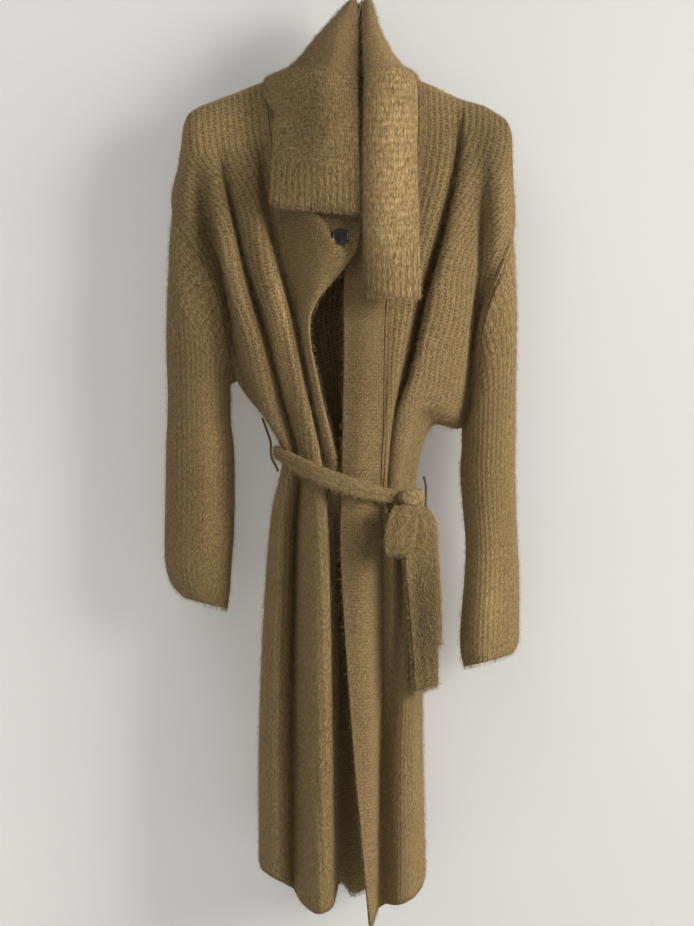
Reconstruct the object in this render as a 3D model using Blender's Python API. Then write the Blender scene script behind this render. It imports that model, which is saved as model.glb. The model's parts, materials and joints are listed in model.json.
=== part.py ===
"""Belted long cardigan hanging on a plain hanger: the sewn pieces as closed solids.

Frame: +Z up, the front faces -Y, +X to the right as seen from the front. The origin is the
place where the hook rests on a rail. Sizes in the tables are in millimetres.

The body is one net of fold lines. A fold line is a row of a table: how far across and how
far forward it lies at each named level. The net is cut at its seams into back, fronts and
front bands, and each of them is given the thickness of the knit.
"""

import math

import bmesh
import bpy
import numpy as np

MM = 0.001
CLOTH = 3.0
SEAM = 1.7
UNDERARM_GAP = 7.0
BAR_RISE = 9.0

LEVELS = ("shoulder", "yoke", "arm top", "arm mid", "underarm", "ribs", "belt", "hip", "knee", "hem")
ROWS_BETWEEN = (2, 3, 3, 4, 2, 2, 3, 3, 3)

# Heights of the levels: at the front band and at the side seam.
RIGHT_BAND_Z = (-140, -220, -297, -361, -447, -530, -648, -730, -924, -1150)
RIGHT_SIDE_Z = (-188, -244, -302, -402, -522, -573, -613, -695, -932, -1136)
LEFT_BAND_Z = (-138, -220, -342, -406, -482, -560, -664, -740, -961, -1184)
LEFT_SIDE_Z = (-197, -264, -332, -442, -581, -579, -671, -752, -990, -1150)

# Right front (the wearer's right): each fold line across, then forward, at each level.
RIGHT_FRONT = {
    "side": (
        (-219, -224, -233, -178, -150, -112, -91, -105, -120, -122),
        (0, 0, 0, 33, 0, 0, 0, 0, -5, -5),
    ),
    "flank": (
        (-212, -212, -214, -173, -147, -111, -90, -105, -119, -120),
        (0, 24, 30, 19, 3, 10, 12, 12, 10, 8),
    ),
    "arm dip": (
        (-204, -198, -191, -167, -143, -109, -88, -103, -117, -116),
        (0, 30, 27, 9, 9, 26, 34, 34, 34, 32),
    ),
    "first crest": (
        (-196, -186, -177, -158, -129, -107, -84, -92, -101, -100),
        (0, 31, 40, 54, 60, 66, 74, 62, 60, 58),
    ),
    "first brow": (
        (-190, -178, -165, -145, -115, -96, -75, -82, -88, -87),
        (0, 30, 37, 50, 60, 66, 72, 54, 50, 54),
    ),
    "first crease": (
        (-185, -172, -159, -140, -109, -90, -70, -74, -78, -77),
        (0, 26, 16, 14, 26, 38, 52, 32, 28, 40),
    ),
    "second rise": (
        (-172, -159, -149, -132, -101, -83, -64, -65, -66, -65),
        (0, 29, 34, 43, 54, 64, 74, 62, 58, 64),
    ),
    "second crest": (
        (-152, -139, -132, -116, -89, -71, -52, -48, -46, -45),
        (0, 32, 43, 58, 72, 82, 92, 90, 88, 86),
    ),
    "second brow": (
        (-140, -127, -122, -105, -80, -63, -42, -36, -32, -31),
        (0, 31, 40, 55, 70, 80, 90, 90, 88, 84),
    ),
    "second crease": (
        (-132, -119, -115, -99, -77, -61, -37, -31, -26, -25),
        (0, 28, 18, 24, 38, 54, 78, 76, 70, 70),
    ),
    "band seam": (
        (-114, -105, -95, -86, -71, -56, -33, -26, -21, -20),
        (0, 30, 34, 40, 52, 64, 80, 70, 60, 60),
    ),
}
RIGHT_BAND = {
    "inner face": (
        (-100, -85, -66, -48, -65, -52, -27, -21, -16, -15),
        (10, 40, 60, 70, 74, 82, 86, 61, 46, 46),
    ),
    "inner edge": (
        (-90, -62, -20, -16, -56, -46, -20, -10, -4, -2),
        (14, 44, 60, 74, 81, 85, 86, 50, 36, 36),
    ),
    "tuck": (
        (-80, -45, 4, 2, -58, -46, -12, 12, 18, 19),
        (18, 42, 58, 70, 66, 72, 76, 42, 34, 34),
    ),
}

# Left front: the same, from its side seam to its band.
LEFT_FRONT = {
    "side": (
        (200, 201, 202, 165, 138, 99, 73, 81, 84, 88),
        (0, 0, 0, 34, 0, 0, -4, 0, -5, -5),
    ),
    "flank": (
        (194, 195, 195, 161, 135, 97, 72, 81, 84, 87),
        (0, 20, 24, 26, 8, 12, 24, 28, 28, 26),
    ),
    "arm crest": (
        (184, 184, 184, 158, 132, 94, 69, 79, 80, 82),
        (0, 33, 38, 14, 15, 22, 44, 52, 52, 50),
    ),
    "arm brow": (
        (176, 174, 172, 154, 129, 90, 67, 76, 77, 77),
        (0, 34, 35, 8, 22, 31, 50, 60, 60, 58),
    ),
    "arm valley": (
        (168, 164, 161, 150, 125, 86, 64, 74, 73, 73),
        (0, 31, 22, 12, 31, 40, 57, 68, 68, 66),
    ),
    "wing edge": (
        (160, 154, 150, 144, 119, 81, 60, 71, 69, 68),
        (0, 31, 32, 33, 41, 49, 65, 73, 73, 72),
    ),
    "wing crest": (
        (150, 143, 127, 108, 86, 69, 51, 67, 61, 60),
        (0, 32, 43, 57, 64, 70, 80, 77, 77, 76),
    ),
    "wing lip": (
        (142, 136, 116, 94, 72, 55, 43, 62, 53, 52),
        (0, 30, 42, 55, 65, 72, 81, 76, 74, 74),
    ),
    "wing crease": (
        (136, 133, 116, 95, 71, 52, 39, 58, 47, 46),
        (0, 18, 12, 14, 26, 42, 74, 72, 62, 66),
    ),
    "roll crest": (
        (118, 118, 96, 75, 54, 44, 36, 46, 42, 38),
        (0, 30, 42, 51, 66, 77, 87, 84, 56, 60),
    ),
    "band seam": (
        (80, 79, 52, 40, 36, 35, 33, 34, 34, 28),
        (0, 30, 42, 52, 66, 76, 84, 72, 56, 62),
    ),
}
LEFT_BAND = {
    "face": (
        (72, 59, 22, 14, 12, 10, 8, 8, 16, 22),
        (10, 36, 48, 60, 78, 90, 97, 94, 90, 86),
    ),
    "edge": (
        (68, 35, -10, -14, -14, -15, -17, -18, -4, 18),
        (14, 38, 48, 56, 74, 86, 93, 92, 95, 98),
    ),
}

# How far each fold line lies above a straight shoulder: rounded at the tip.
SHOULDER_LIFT = {
    "side": -13,
    "flank": 3,
    "arm dip": 5,
    "first crest": 6,
    "first brow": 5,
    "first crease": 5,
    "second rise": 4,
    "second crest": 2,
    "arm crest": 6,
    "arm brow": 7,
    "arm valley": 8,
    "wing edge": 7,
    "wing crest": 5,
    "wing lip": 3,
    "wing crease": 2,
}

# How far lines of the left front lie above their level near the armhole.
ARM_LIFT = {
    "flank": {"underarm": 2},
    "arm crest": {"underarm": 3},
    "arm brow": {"underarm": 5},
    "arm valley": {"underarm": 6, "ribs": 3},
    "wing edge": {"underarm": 7, "ribs": 5},
}

# How far each fold line hangs below its level at the hem.
HEM_DROP = {
    "flank": 4,
    "arm dip": 5,
    "first crest": 8,
    "first brow": 14,
    "first crease": 22,
    "second rise": 33,
    "second crest": 38,
    "second brow": 31,
    "second crease": 20,
    "inner face": 2,
    "inner edge": 20,
    "tuck": 13,
    "arm crest": 8,
    "arm brow": 9,
    "arm valley": 10,
    "wing edge": 9,
    "wing crest": 8,
    "wing lip": 6,
    "wing crease": 4,
    "face": 8,
    "edge": 16,
}

# Back: shares of the way from one side seam to the other, and how full the section is there.
BACK_SHARES = (0.04, 0.13, 0.25, 0.36, 0.49, 0.62, 0.725, 0.86, 0.96)
BACK_FULLNESS = (0.5, 0.9, 1.0, 1.0, 1.0, 1.0, 1.0, 0.9, 0.5)
BACK_DEPTH = (0, 25, 28, 29, 31, 33, 34, 38, 40, 38)
BACK_WAVE = (0, 2, 4, 6, 7, 7, 6, 8, 9, 9)
BACK_WAVES = 4
BACK_NECK = ((-70, 24, -148), (-14, 37, -150), (42, 24, -148))

# Sleeves: a row for each oval section. Its height, how much higher its outer side is than its
# middle, middle across, half width, half depth.
RIGHT_SLEEVE = (
    (-448, 80, -199, 39, 36),
    (-508, 40, -200, 40, 34),
    (-562, 12, -199, 39, 32),
    (-606, 3, -198, 42, 31),
    (-660, 0, -198, 43, 31),
    (-720, 0, -199, 43, 31),
    (-758, 0, -200, 41, 30),
    (-787, 4, -197, 36, 28),
    (-805, 8, -192, 28, 24),
)
LEFT_SLEEVE = (
    (-510, 88, 172, 34, 37),
    (-572, 38, 172, 34, 35),
    (-628, 11, 170, 34, 32),
    (-680, 2, 172, 33, 30),
    (-733, 0, 175, 32, 29),
    (-780, 0, 175, 34, 30),
    (-829, 0, 173, 36, 30),
    (-861, 3, 172, 36, 29),
    (-878, 9, 171, 31, 27),
)

# Collar: lines round the neck, each across, forward and up at its top, half way, the neck, and
# for the two hanging ends half way down and the end.
COLLAR = {
    "flap slit": ((2, 14, -40), (4, 35, -85), (3, 52, -140), (4, 68, -215), (6, 78, -318)),
    "flap face": ((-3, 16, -38), (-23, 38, -84), (-44, 58, -140), (-48, 72, -212), (-50, 80, -312)),
    "flap side": ((-6, 9, -39), (-42, 26, -84), (-94, 38, -142), (-101, 56, -212), (-106, 66, -299)),
    "neck right": ((-8, 2, -39), (-46, 6, -84), (-113, 0, -137)),
    "side right": ((-7, -3, -39), (-40, -8, -82), (-100, -13, -138)),
    "back right": ((-4, -7, -39), (-26, -15, -78), (-66, -18, -150)),
    "back": ((5, -9, -38), (0, -22, -78), (-14, -29, -155)),
    "back left": ((14, -7, -39), (22, -15, -78), (38, -18, -150)),
    "side left": ((18, -3, -39), (29, -8, -82), (70, -13, -138)),
    "neck left": ((20, 2, -39), (32, 6, -84), (79, 0, -135)),
    "roll back": ((21, 6, -39), (33, 18, -84), (74, 30, -139), (60, 56, -240), (58, 72, -400)),
    "roll side": ((20, 11, -39), (32, 30, -84), (72, 48, -144), (76, 68, -260), (80, 86, -420)),
    "roll crest": ((17, 16, -38), (24, 42, -84), (52, 68, -142), (52, 88, -270), (50, 102, -424)),
    "roll face": ((12, 15, -40), (12, 40, -86), (18, 64, -142), (16, 82, -270), (19, 96, -420)),
    "roll slit": ((9, 11, -41), (10, 31, -88), (12, 50, -145), (9, 70, -270), (14, 84, -416)),
}
# Between half way and the neck its sides are hollow: shares of the way across, forward and down.
COLLAR_HOLLOW = (0.56, 0.66, 0.74)
COLLAR_ROWS = (3, 2, 1, 3, 4)
COLLAR_COLUMNS = (2, 2, 2, 1, 1, 2, 2, 1, 1, 2, 1, 2, 2, 1)

# Belt: a soft flattened roll round the waist, which falls to the left, with a knot, a hanging
# bow and two tails. It is narrower where it turns the right side and at the knot.
BELT_HALF_HEIGHT = 11.0
BELT_HALF_DEPTH = 4.2
BELT_START = (-101, -613)
BELT_FALL = 0.60
BELT_EASE = 0.0015
BELT_PINCH = ((-104, 24, 0.45), (62, 24, 0.22))
BELT_CLEAR = 3.2
# The knot lies on the belt where it turns the left side: across, turn about the upright, half sizes.
KNOT_ACROSS = 62
KNOT_TURN = math.radians(38)
KNOT_HALF = (17, 8, 9.5)
KNOT_CLEAR = 1.7
# Straps: middle across, forward, up, half width, one row down each strap.
BOW = (
    (62, 108, -681, 14),
    (59, 117, -692, 17),
    (55, 120, -712, 18),
    (53, 118, -729, 17),
    (54, 112, -738, 15),
    (58, 107, -729, 15),
    (63, 104, -704, 14),
    (66, 101, -684, 12),
)
FRONT_TAIL = (
    (75, 90, -682, 12),
    (80, 90, -702, 16),
    (81, 90, -745, 20),
    (84, 89, -800, 18),
    (86, 88, -855, 16),
    (88, 86, -905, 14),
)
BACK_TAIL = (
    (78, 79, -685, 12),
    (84, 79, -704, 16),
    (86, 80, -745, 17),
    (88, 80, -800, 18),
    (89, 79, -858, 18),
)
TAIL_SLANT = 0.3
TAIL_TURN = 0.3
LOOP_RADIUS = 1.5
LOOP_RIGHT = (
    (-118.4, 0, -570),
    (-112.8, 0, -586),
    (-107.8, 0, -601),
    (-107.6, 0, -613),
    (-106.0, 0, -623),
    (-101.4, 0, -631),
    (-98.4, 0, -639),
)
LOOP_LEFT = (
    (88.4, 4, -645),
    (90.6, 4, -654),
    (91.3, 4, -663),
    (91.1, 4, -674),
    (90.0, 4, -685),
    (85.0, 4, -693),
    (79.8, 4, -701),
)

BUTTON_AT = (-19, 77.8, -348)
BUTTON_RADIUS = 11.0

# Hanger: middle of the bar across and up, half height, half depth, one row for each section.
HANGER_BAR = (
    (-207, -204, 6, 4),
    (-202, -201, 12, 6),
    (-114, -160, 13, 6),
    (-9, -114, 14, 6),
    (85, -160, 13, 6),
    (182, -205, 12, 6),
    (187, -208, 6, 4),
)
HOOK_WIRE = 2.0
HOOK_BEND = 20.0
HOOK_STEM = ((-9, -97), (-3, -80), (4, -60), (7, -45), (10, -35), (19, -27))


def start_empty():
    """Clears the file and makes the collection that the pieces go in."""
    for thing in list(bpy.data.objects):
        bpy.data.objects.remove(thing, do_unlink=True)
    pieces = bpy.data.collections.new("belted long cardigan")
    bpy.context.scene.collection.children.link(pieces)
    return pieces


PIECES = start_empty()


def material(name, colour, roughness, metallic=0.0):
    made = bpy.data.materials.new(name)
    made.use_nodes = True
    shader = made.node_tree.nodes["Principled BSDF"]
    shader.inputs["Base Color"].default_value = (*colour, 1.0)
    shader.inputs["Roughness"].default_value = roughness
    shader.inputs["Metallic"].default_value = metallic
    return made


KNIT = material("camel knit", (0.38, 0.26, 0.13), 0.95)
HORN = material("dark button", (0.01, 0.01, 0.012), 0.35)
WOOD = material("hanger wood", (0.42, 0.25, 0.12), 0.5)
STEEL = material("hook steel", (0.62, 0.62, 0.62), 0.25, 1.0)


def smooth(points, steps):
    """A smooth curve through the rows of points: steps[i] even steps between row i and the next.

    Each stretch is a Catmull-Rom curve whose knots are set apart by the square root of the
    distance, so that close rows make no loops. Points can hold many curves side by side.
    """
    points = np.asarray(points, float)
    first = 2 * points[:1] - points[1:2]
    last = 2 * points[-1:] - points[-2:-1]
    run = np.concatenate([first, points, last])
    gaps = np.sqrt(np.linalg.norm(np.diff(run, axis=0), axis=-1, keepdims=True)) + 1e-6
    out = []
    for i, count in enumerate(steps):
        a, b, c, d = run[i : i + 4]
        ta, tb, tc = gaps[i : i + 3]
        ends = i == len(steps) - 1
        for step in range(count + ends):
            t = ta + tb * step / count
            ab = a + (b - a) * t / ta
            bc = b + (c - b) * (t - ta) / tb
            cd = c + (d - c) * (t - ta - tb) / tc
            abc = ab + (bc - ab) * t / (ta + tb)
            bcd = bc + (cd - bc) * (t - ta) / (tb + tc)
            out.append(abc + (bcd - abc) * (t - ta) / tb)
    return np.array(out)


def unit(vectors):
    return vectors / np.maximum(np.linalg.norm(vectors, axis=-1, keepdims=True), 1e-9)


def normals(grid):
    """Unit normals of a grid of points, from the slopes along its rows and columns."""
    return unit(np.cross(np.gradient(grid, axis=1), np.gradient(grid, axis=0)))


def trimmed(grid, edges):
    """Draws the named edges of a grid in by half a seam."""
    grid = grid.copy()
    for edge in edges:
        sides = {"top": grid, "bottom": grid[::-1]}
        sides.update(first=grid.swapaxes(0, 1), last=grid.swapaxes(0, 1)[::-1])
        side = sides[edge]
        side[0] += unit(side[1] - side[0]) * SEAM / 2
    grid[0, (0, -1), 1] = grid[0, (1, -2), 1]
    return grid


def new_object(name, mesh, look):
    mesh.normal_update()
    data = bpy.data.meshes.new(name)
    mesh.to_mesh(data)
    mesh.free()
    data.materials.append(look)
    thing = bpy.data.objects.new(name, data)
    PIECES.objects.link(thing)
    return thing


def shell(name, grid, facing=None, kept=None):
    """A grid of points made a closed wall: its two faces half a wall out and in, and its rim.

    kept says which cells of the grid are cloth, all of them if it isn't given.
    """
    out = (normals(grid) if facing is None else facing) * CLOTH / 2
    kept = np.ones(np.subtract(grid.shape[:2], 1), bool) if kept is None else kept
    mesh = bmesh.new()
    faces = []
    for way in (1, -1):
        points = (grid + out * way) * MM
        faces.append([[mesh.verts.new(point) for point in row] for row in points])
    top, under = faces
    edges = {}
    for i, j in np.argwhere(kept):
        corners = ((i, j), (i + 1, j), (i + 1, j + 1), (i, j + 1))
        mesh.faces.new([top[a][b] for a, b in corners])
        mesh.faces.new([under[a][b] for a, b in reversed(corners)])
        for one, two in zip(corners, corners[1:] + corners[:1]):
            if edges.pop((two, one), None) is None:
                edges[one, two] = True
    for (a, b), (c, d) in edges:
        mesh.faces.new((top[c][d], top[a][b], under[a][b], under[c][d]))
    bmesh.ops.delete(mesh, geom=[vert for vert in mesh.verts if not vert.link_faces], context="VERTS")
    bmesh.ops.recalc_face_normals(mesh, faces=mesh.faces)
    return new_object(name, mesh, KNIT)


def tube_shell(name, rings, start=None):
    """Rings of points made a closed wall that is open at its first and last ring."""
    closed = np.concatenate([rings[:, -1:], rings, rings[:, :1]], axis=1)
    out = normals(closed)[:, 1:-1]
    if start is not None:
        out[0] = start * np.sign((out[0] * start).sum(-1, keepdims=True))
    out = out * CLOTH / 2
    rows, columns = rings.shape[:2]
    mesh = bmesh.new()
    faces = []
    for side in (1, -1):
        points = (rings + out * side) * MM
        faces.append([[mesh.verts.new(point) for point in row] for row in points])
    for i in range(rows - 1):
        for j in range(columns):
            k = (j + 1) % columns
            for side in faces:
                mesh.faces.new((side[i][j], side[i + 1][j], side[i + 1][k], side[i][k]))
    for i in (0, rows - 1):
        for j in range(columns):
            k = (j + 1) % columns
            mesh.faces.new((faces[0][i][j], faces[0][i][k], faces[1][i][k], faces[1][i][j]))
    bmesh.ops.recalc_face_normals(mesh, faces=mesh.faces)
    return new_object(name, mesh, KNIT)


def bar(name, rings, look):
    """Rings of points made one solid, closed by a cap at each end."""
    mesh = bmesh.new()
    rows = [[mesh.verts.new(point * MM) for point in ring] for ring in rings]
    count = len(rows[0])
    for one, two in zip(rows, rows[1:]):
        for j in range(count):
            mesh.faces.new((one[j], two[j], two[(j + 1) % count], one[(j + 1) % count]))
    mesh.faces.new(rows[0])
    mesh.faces.new(rows[-1][::-1])
    bmesh.ops.recalc_face_normals(mesh, faces=mesh.faces)
    return new_object(name, mesh, look)


def front_lines(folds, band, side_z, band_z):
    """The table's fold lines as points, level by level and line by line."""
    lines = {**folds, **band}
    side_x = np.array(folds["side"][0], float)
    seam_x = np.array(folds["band seam"][0], float)
    side_z = np.array(side_z, float)
    band_z = np.array(band_z, float)
    net = []
    for name, (across, forward) in lines.items():
        across = np.array(across, float)
        share = np.clip((across - side_x) / (seam_x - side_x), 0, 1)
        up = side_z + (band_z - side_z) * share
        up[0] += SHOULDER_LIFT.get(name, 0)
        up[-1] -= HEM_DROP.get(name, 0)
        for level, lift in ARM_LIFT.get(name, {}).items() if side_x[0] > 0 else ():
            up[LEVELS.index(level)] += lift
        net.append(np.stack([across, -np.array(forward, float), up], -1))
    return np.array(net).swapaxes(0, 1)


def over_the_bar(net, way):
    """Adds a level just below the shoulder seam, where the cloth has turned down over the hanger."""
    turned = net[:1].copy()
    turned[..., 1] += way * BAR_RISE * (np.abs(turned[..., 1]) < 1)
    turned[..., 2] -= 7
    turned[..., 0] += (net[1:2, :, 0] - turned[..., 0]) * 0.06
    return np.concatenate([net[:1], turned, net[1:]])


def back_lines(right, left):
    """The back's lines, between the side seams of both fronts."""
    last_right = list(RIGHT_FRONT).index("band seam")
    last_left = list(LEFT_FRONT).index("band seam")
    ends = (right[:, 0], right[:, last_right], left[:, last_left], left[:, 0])
    net = [ends[0] * (1, 0, 1)]
    for share, full in zip(BACK_SHARES, BACK_FULLNESS):
        line = ends[0] + (ends[3] - ends[0]) * share
        rise = np.interp(share, (0, 0.25, 0.725, 1), (0, 1, 2, 3))
        low = int(rise)
        line[:, 2] = ends[low][:, 2] * (1 - rise + low) + ends[min(low + 1, 3)][:, 2] * (rise - low)
        wave = math.cos(2 * math.pi * BACK_WAVES * share)
        line[:, 1] = full * np.array(BACK_DEPTH) + np.array(BACK_WAVE) * wave * full
        net.append(line)
    net.append(ends[3] * (1, 0, 1))
    net = np.array(net).swapaxes(0, 1)
    shoulders = np.concatenate([right[0, : last_right + 1], left[0, last_left::-1]])
    net[0, :, 2] = np.interp(net[0, :, 0], shoulders[:, 0], shoulders[:, 2])
    for place, point in zip((4, 5, 6), BACK_NECK):
        net[0, place] = point
    arm_mid = LEVELS.index("arm mid")
    for column, end in ((0, ends[0]), (-1, ends[3])):
        net[arm_mid, column] = end[arm_mid] * (1, -1, 1)
        for step, deeper in ((1, 4), (2, 8)):
            net[arm_mid, column + step * (1 if column == 0 else -1), 1] = deeper - end[arm_mid, 1]
        net[LEVELS.index("underarm"), column, 1] = 0
        net[LEVELS.index("belt") :, column, 1] = end[LEVELS.index("belt") :, 1]
        net[LEVELS.index("ribs"), column, 1] = end[LEVELS.index("ribs"), 1]
    return net


def joined_sides(front, back):
    """Makes a front's side line and the back's one line, but for the two halves of the armhole."""
    front[: ARM_TOP + 1, 1] = 0
    rise = np.linspace(0, 1, ARM_MID - ARM_TOP + 1)
    front[ARM_TOP : ARM_MID + 1, 1] = front[ARM_MID, 1] * np.sqrt(rise * (2 - rise))
    back[:] = front
    front[ARM_TOP:UNDERARM, 1] = -np.abs(front[ARM_TOP:UNDERARM, 1])
    back[ARM_TOP:UNDERARM, 1] = np.abs(front[ARM_TOP:UNDERARM, 1])


def beyond(own, other):
    """The other panel's line beyond a seam. At the armhole it is the own cloth carried on, and so
    at the tip of the shoulder."""
    line = other[:, 1].copy()
    carried = 2 * own[:, 0] - own[:, 1]
    apart = np.abs(own[:, 0, 1] - other[:, 0, 1])
    share = (apart / apart.max())[:, None]
    line += (carried - line) * share
    line[0] = carried[0]
    return line


def filled(rows, columns, before=None, after=None):
    """Lines filled across to a grid. Returns its points and their normals.

    A line from beyond a seam, before the first or after the last, gives the cloth the same
    slope on both sides of that seam, and a row mirrored over the bar does so at the shoulder.
    """
    extra = [line[:, None] for line in (before, after) if line is not None]
    rows = np.concatenate([extra[0], rows, *extra[1:]], axis=1)
    columns = (1,) + columns + (1,) * (after is not None)
    grid = smooth(rows.swapaxes(0, 1), columns).swapaxes(0, 1)
    if grid[2, 3, 1] > 0:
        low = BAR_RISE * np.array((0, 0.5, 1))[:, None]
        grid[:3, 2:-2, 1] = np.maximum(grid[:3, 2:-2, 1], low)
    on_seam = np.abs(grid[0, :, 1:2]) < 1
    above = np.where(on_seam, grid[1] * (1, -1, 1), 2 * grid[0] - grid[1])
    facing = normals(np.concatenate([above[None], grid]))[1:]
    inside = slice(1, grid.shape[1] - int(after is not None))
    grid, facing = grid[:, inside], facing[:, inside]
    for corner in (0,) if after is None else (0, -1):
        beside = facing[0, 1 if corner == 0 else -2]
        facing[0, corner] = unit(beside + facing[1, corner] * np.sign(beside @ facing[1, corner]))
        facing[:ARM_TOP, corner, 1] = 0
        facing[:ARM_TOP, corner] = unit(facing[:ARM_TOP, corner])
    return grid, facing


RIGHT_COLUMNS = (1, 1, 1, 1, 1, 1, 1, 1, 1, 1, 1, 1, 1)
LEFT_COLUMNS = (1, 1, 1, 1, 1, 2, 1, 1, 1, 1, 2, 2)
BACK_COLUMNS = (1, 2, 2, 2, 2, 2, 2, 2, 2, 1)

# Rows of the grids between which the armhole lies.
ARM_TOP = 2 + sum(ROWS_BETWEEN[:2])
ARM_MID = 2 + sum(ROWS_BETWEEN[:3])
UNDERARM = 2 + sum(ROWS_BETWEEN[:4])

right_net = front_lines(RIGHT_FRONT, RIGHT_BAND, RIGHT_SIDE_Z, RIGHT_BAND_Z)
left_net = front_lines(LEFT_FRONT, LEFT_BAND, LEFT_SIDE_Z, LEFT_BAND_Z)
back_net = back_lines(right_net, left_net)
right_rows = smooth(over_the_bar(right_net, -1), (2, *ROWS_BETWEEN))
left_rows = smooth(over_the_bar(left_net, -1), (2, *ROWS_BETWEEN))
back_rows = smooth(over_the_bar(back_net, 1), (2, *ROWS_BETWEEN))
joined_sides(right_rows[:, 0], back_rows[:, 0])
joined_sides(left_rows[:, 0], back_rows[:, -1])

right_grid, right_facing = filled(right_rows, RIGHT_COLUMNS, beyond(right_rows, back_rows))
left_grid, left_facing = filled(left_rows, LEFT_COLUMNS, beyond(left_rows, back_rows[:, ::-1]))
back_grid, back_facing = filled(
    back_rows,
    BACK_COLUMNS,
    beyond(back_rows, right_rows),
    beyond(back_rows[:, ::-1], left_rows),
)

right_seam = sum(RIGHT_COLUMNS[: len(RIGHT_FRONT) - 1])
left_seam = sum(LEFT_COLUMNS[: len(LEFT_FRONT) - 1])
BAND_TOP = 1


def one_shoulder(right, left, back):
    """Puts both fronts' and the back's top rows on one line, from the tip to the neck."""
    right[:, 1] = 0
    left[:, 1] = 0
    line = np.concatenate([right, left[::-1]])
    outer = (back[:, 0] < right[-1, 0] + 1) | (back[:, 0] > left[-1, 0] - 1)
    back[outer, 2] = np.interp(back[outer, 0], line[:, 0], line[:, 2])


one_shoulder(right_grid[0, : right_seam + 1], left_grid[0, : left_seam + 1], back_grid[0])

for side, grid, facing, seam in (
    ("right", right_grid, right_facing, right_seam),
    ("left", left_grid, left_facing, left_seam),
):
    front = trimmed(grid[:, : seam + 1], ("top", "first", "last"))
    shell(f"front_{side}", front, facing[:, : seam + 1])
    shell(f"band_{side}", trimmed(grid[BAND_TOP:, seam:], ("first",)), facing[BAND_TOP:, seam:])
shell("back", trimmed(back_grid, ("top", "first", "last")), back_facing)


def armhole(front_edge, back_edge):
    """The loop where body and sleeve meet: down the front's edge and up the back's."""
    return np.concatenate([front_edge[ARM_TOP : UNDERARM + 1], back_edge[UNDERARM - 1 : ARM_TOP : -1]])


def sleeve(name, loop, facing, sections, rows):
    """A tube from the armhole loop through the oval sections of its table."""
    count = len(loop)
    turn = np.linspace(0, 2 * math.pi, count, endpoint=False)
    outward = -1 if loop[0, 0] < 0 else 1
    rings = [loop]
    for height, tilt, middle, half_width, half_depth in sections:
        across = middle + outward * half_width * np.cos(turn)
        forward = -half_depth * np.sin(turn)
        rings.append(np.stack([across, forward, height + tilt * np.cos(turn)], -1))
    body = smooth(rings, rows)
    body[0] += unit(body[1] - body[0]) * (SEAM + UNDERARM_GAP * np.sin(turn / 2))[:, None]
    return tube_shell(name, body, facing)


SLEEVE_ROWS = (1, 1, 1, 1, 2, 2, 1, 1, 1)
sleeve(
    "sleeve_right",
    armhole(right_grid[:, 0], back_grid[:, 0]),
    armhole(right_facing[:, 0], -back_facing[:, 0]),
    RIGHT_SLEEVE,
    SLEEVE_ROWS,
)
sleeve(
    "sleeve_left",
    armhole(left_grid[:, 0], back_grid[:, -1]),
    armhole(left_facing[:, 0], -back_facing[:, -1]),
    LEFT_SLEEVE,
    SLEEVE_ROWS,
)


def collar():
    """The collar: its stand round the hook, and the two ends that hang free from the neck down."""
    net = []
    for line in COLLAR.values():
        line = [*line, *([line[-1]] * (5 - len(line)))]
        net.append(np.array(line, float) * (1, -1, 1))
    sewn = np.array([len(line) == 3 for line in COLLAR.values()])
    net = np.array(net).swapaxes(0, 1)
    net[3:, sewn, 2] -= np.array((5, 10))[:, None]
    net = np.insert(net, 2, net[1] + (net[2] - net[1]) * COLLAR_HOLLOW, axis=0)
    grid = smooth(smooth(net, COLLAR_ROWS).swapaxes(0, 1), COLLAR_COLUMNS).swapaxes(0, 1)
    kept = np.ones(np.subtract(grid.shape[:2], 1), bool)
    lines = np.cumsum((0, *COLLAR_COLUMNS))
    first, last = np.flatnonzero(sewn)[[0, -1]]
    kept[sum(COLLAR_ROWS[:3]) :, lines[first - 1] : lines[last + 1]] = False
    return shell("collar", grid, None, kept)


collar()


def belt_height(across):
    """The height of the belt's middle: it falls to the left, steeply at first and then less."""
    run = across - BELT_START[0]
    return BELT_START[1] - run * BELT_FALL + run**2 * BELT_EASE


def belt_half(across):
    """Half the belt's height, narrowed by a bell at each place where it is drawn together."""
    half = np.full(np.shape(across), BELT_HALF_HEIGHT)
    for place, reach, share in BELT_PINCH:
        half = half - BELT_HALF_HEIGHT * share * np.exp(-(((across - place) / reach) ** 2))
    return half


def waist_path(grids, count=40):
    """A closed path round every point near the belt: where straight sides laid against them cross."""
    points = []
    for grid in grids:
        points += [grid[:-1] + (grid[1:] - grid[:-1]) * share for share in (0, 0.25, 0.5, 0.75)]
    points = np.concatenate([some.reshape(-1, 3) for some in points])
    near = np.abs(points[:, 2] - belt_height(points[:, 0])) < BELT_HALF_HEIGHT + 2
    points = points[near, :2]
    turn = np.linspace(0, 2 * math.pi, count, endpoint=False)
    facing = np.stack([np.cos(turn), np.sin(turn)], -1)
    reach = (points @ facing.T).max(0) + CLOTH / 2 + BELT_CLEAR + BELT_HALF_DEPTH
    corners = []
    for i in range(count):
        pair = facing[[i, (i + 1) % count]]
        corners.append(np.linalg.solve(pair, reach[[i, (i + 1) % count]]))
    return np.array(corners)


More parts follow.
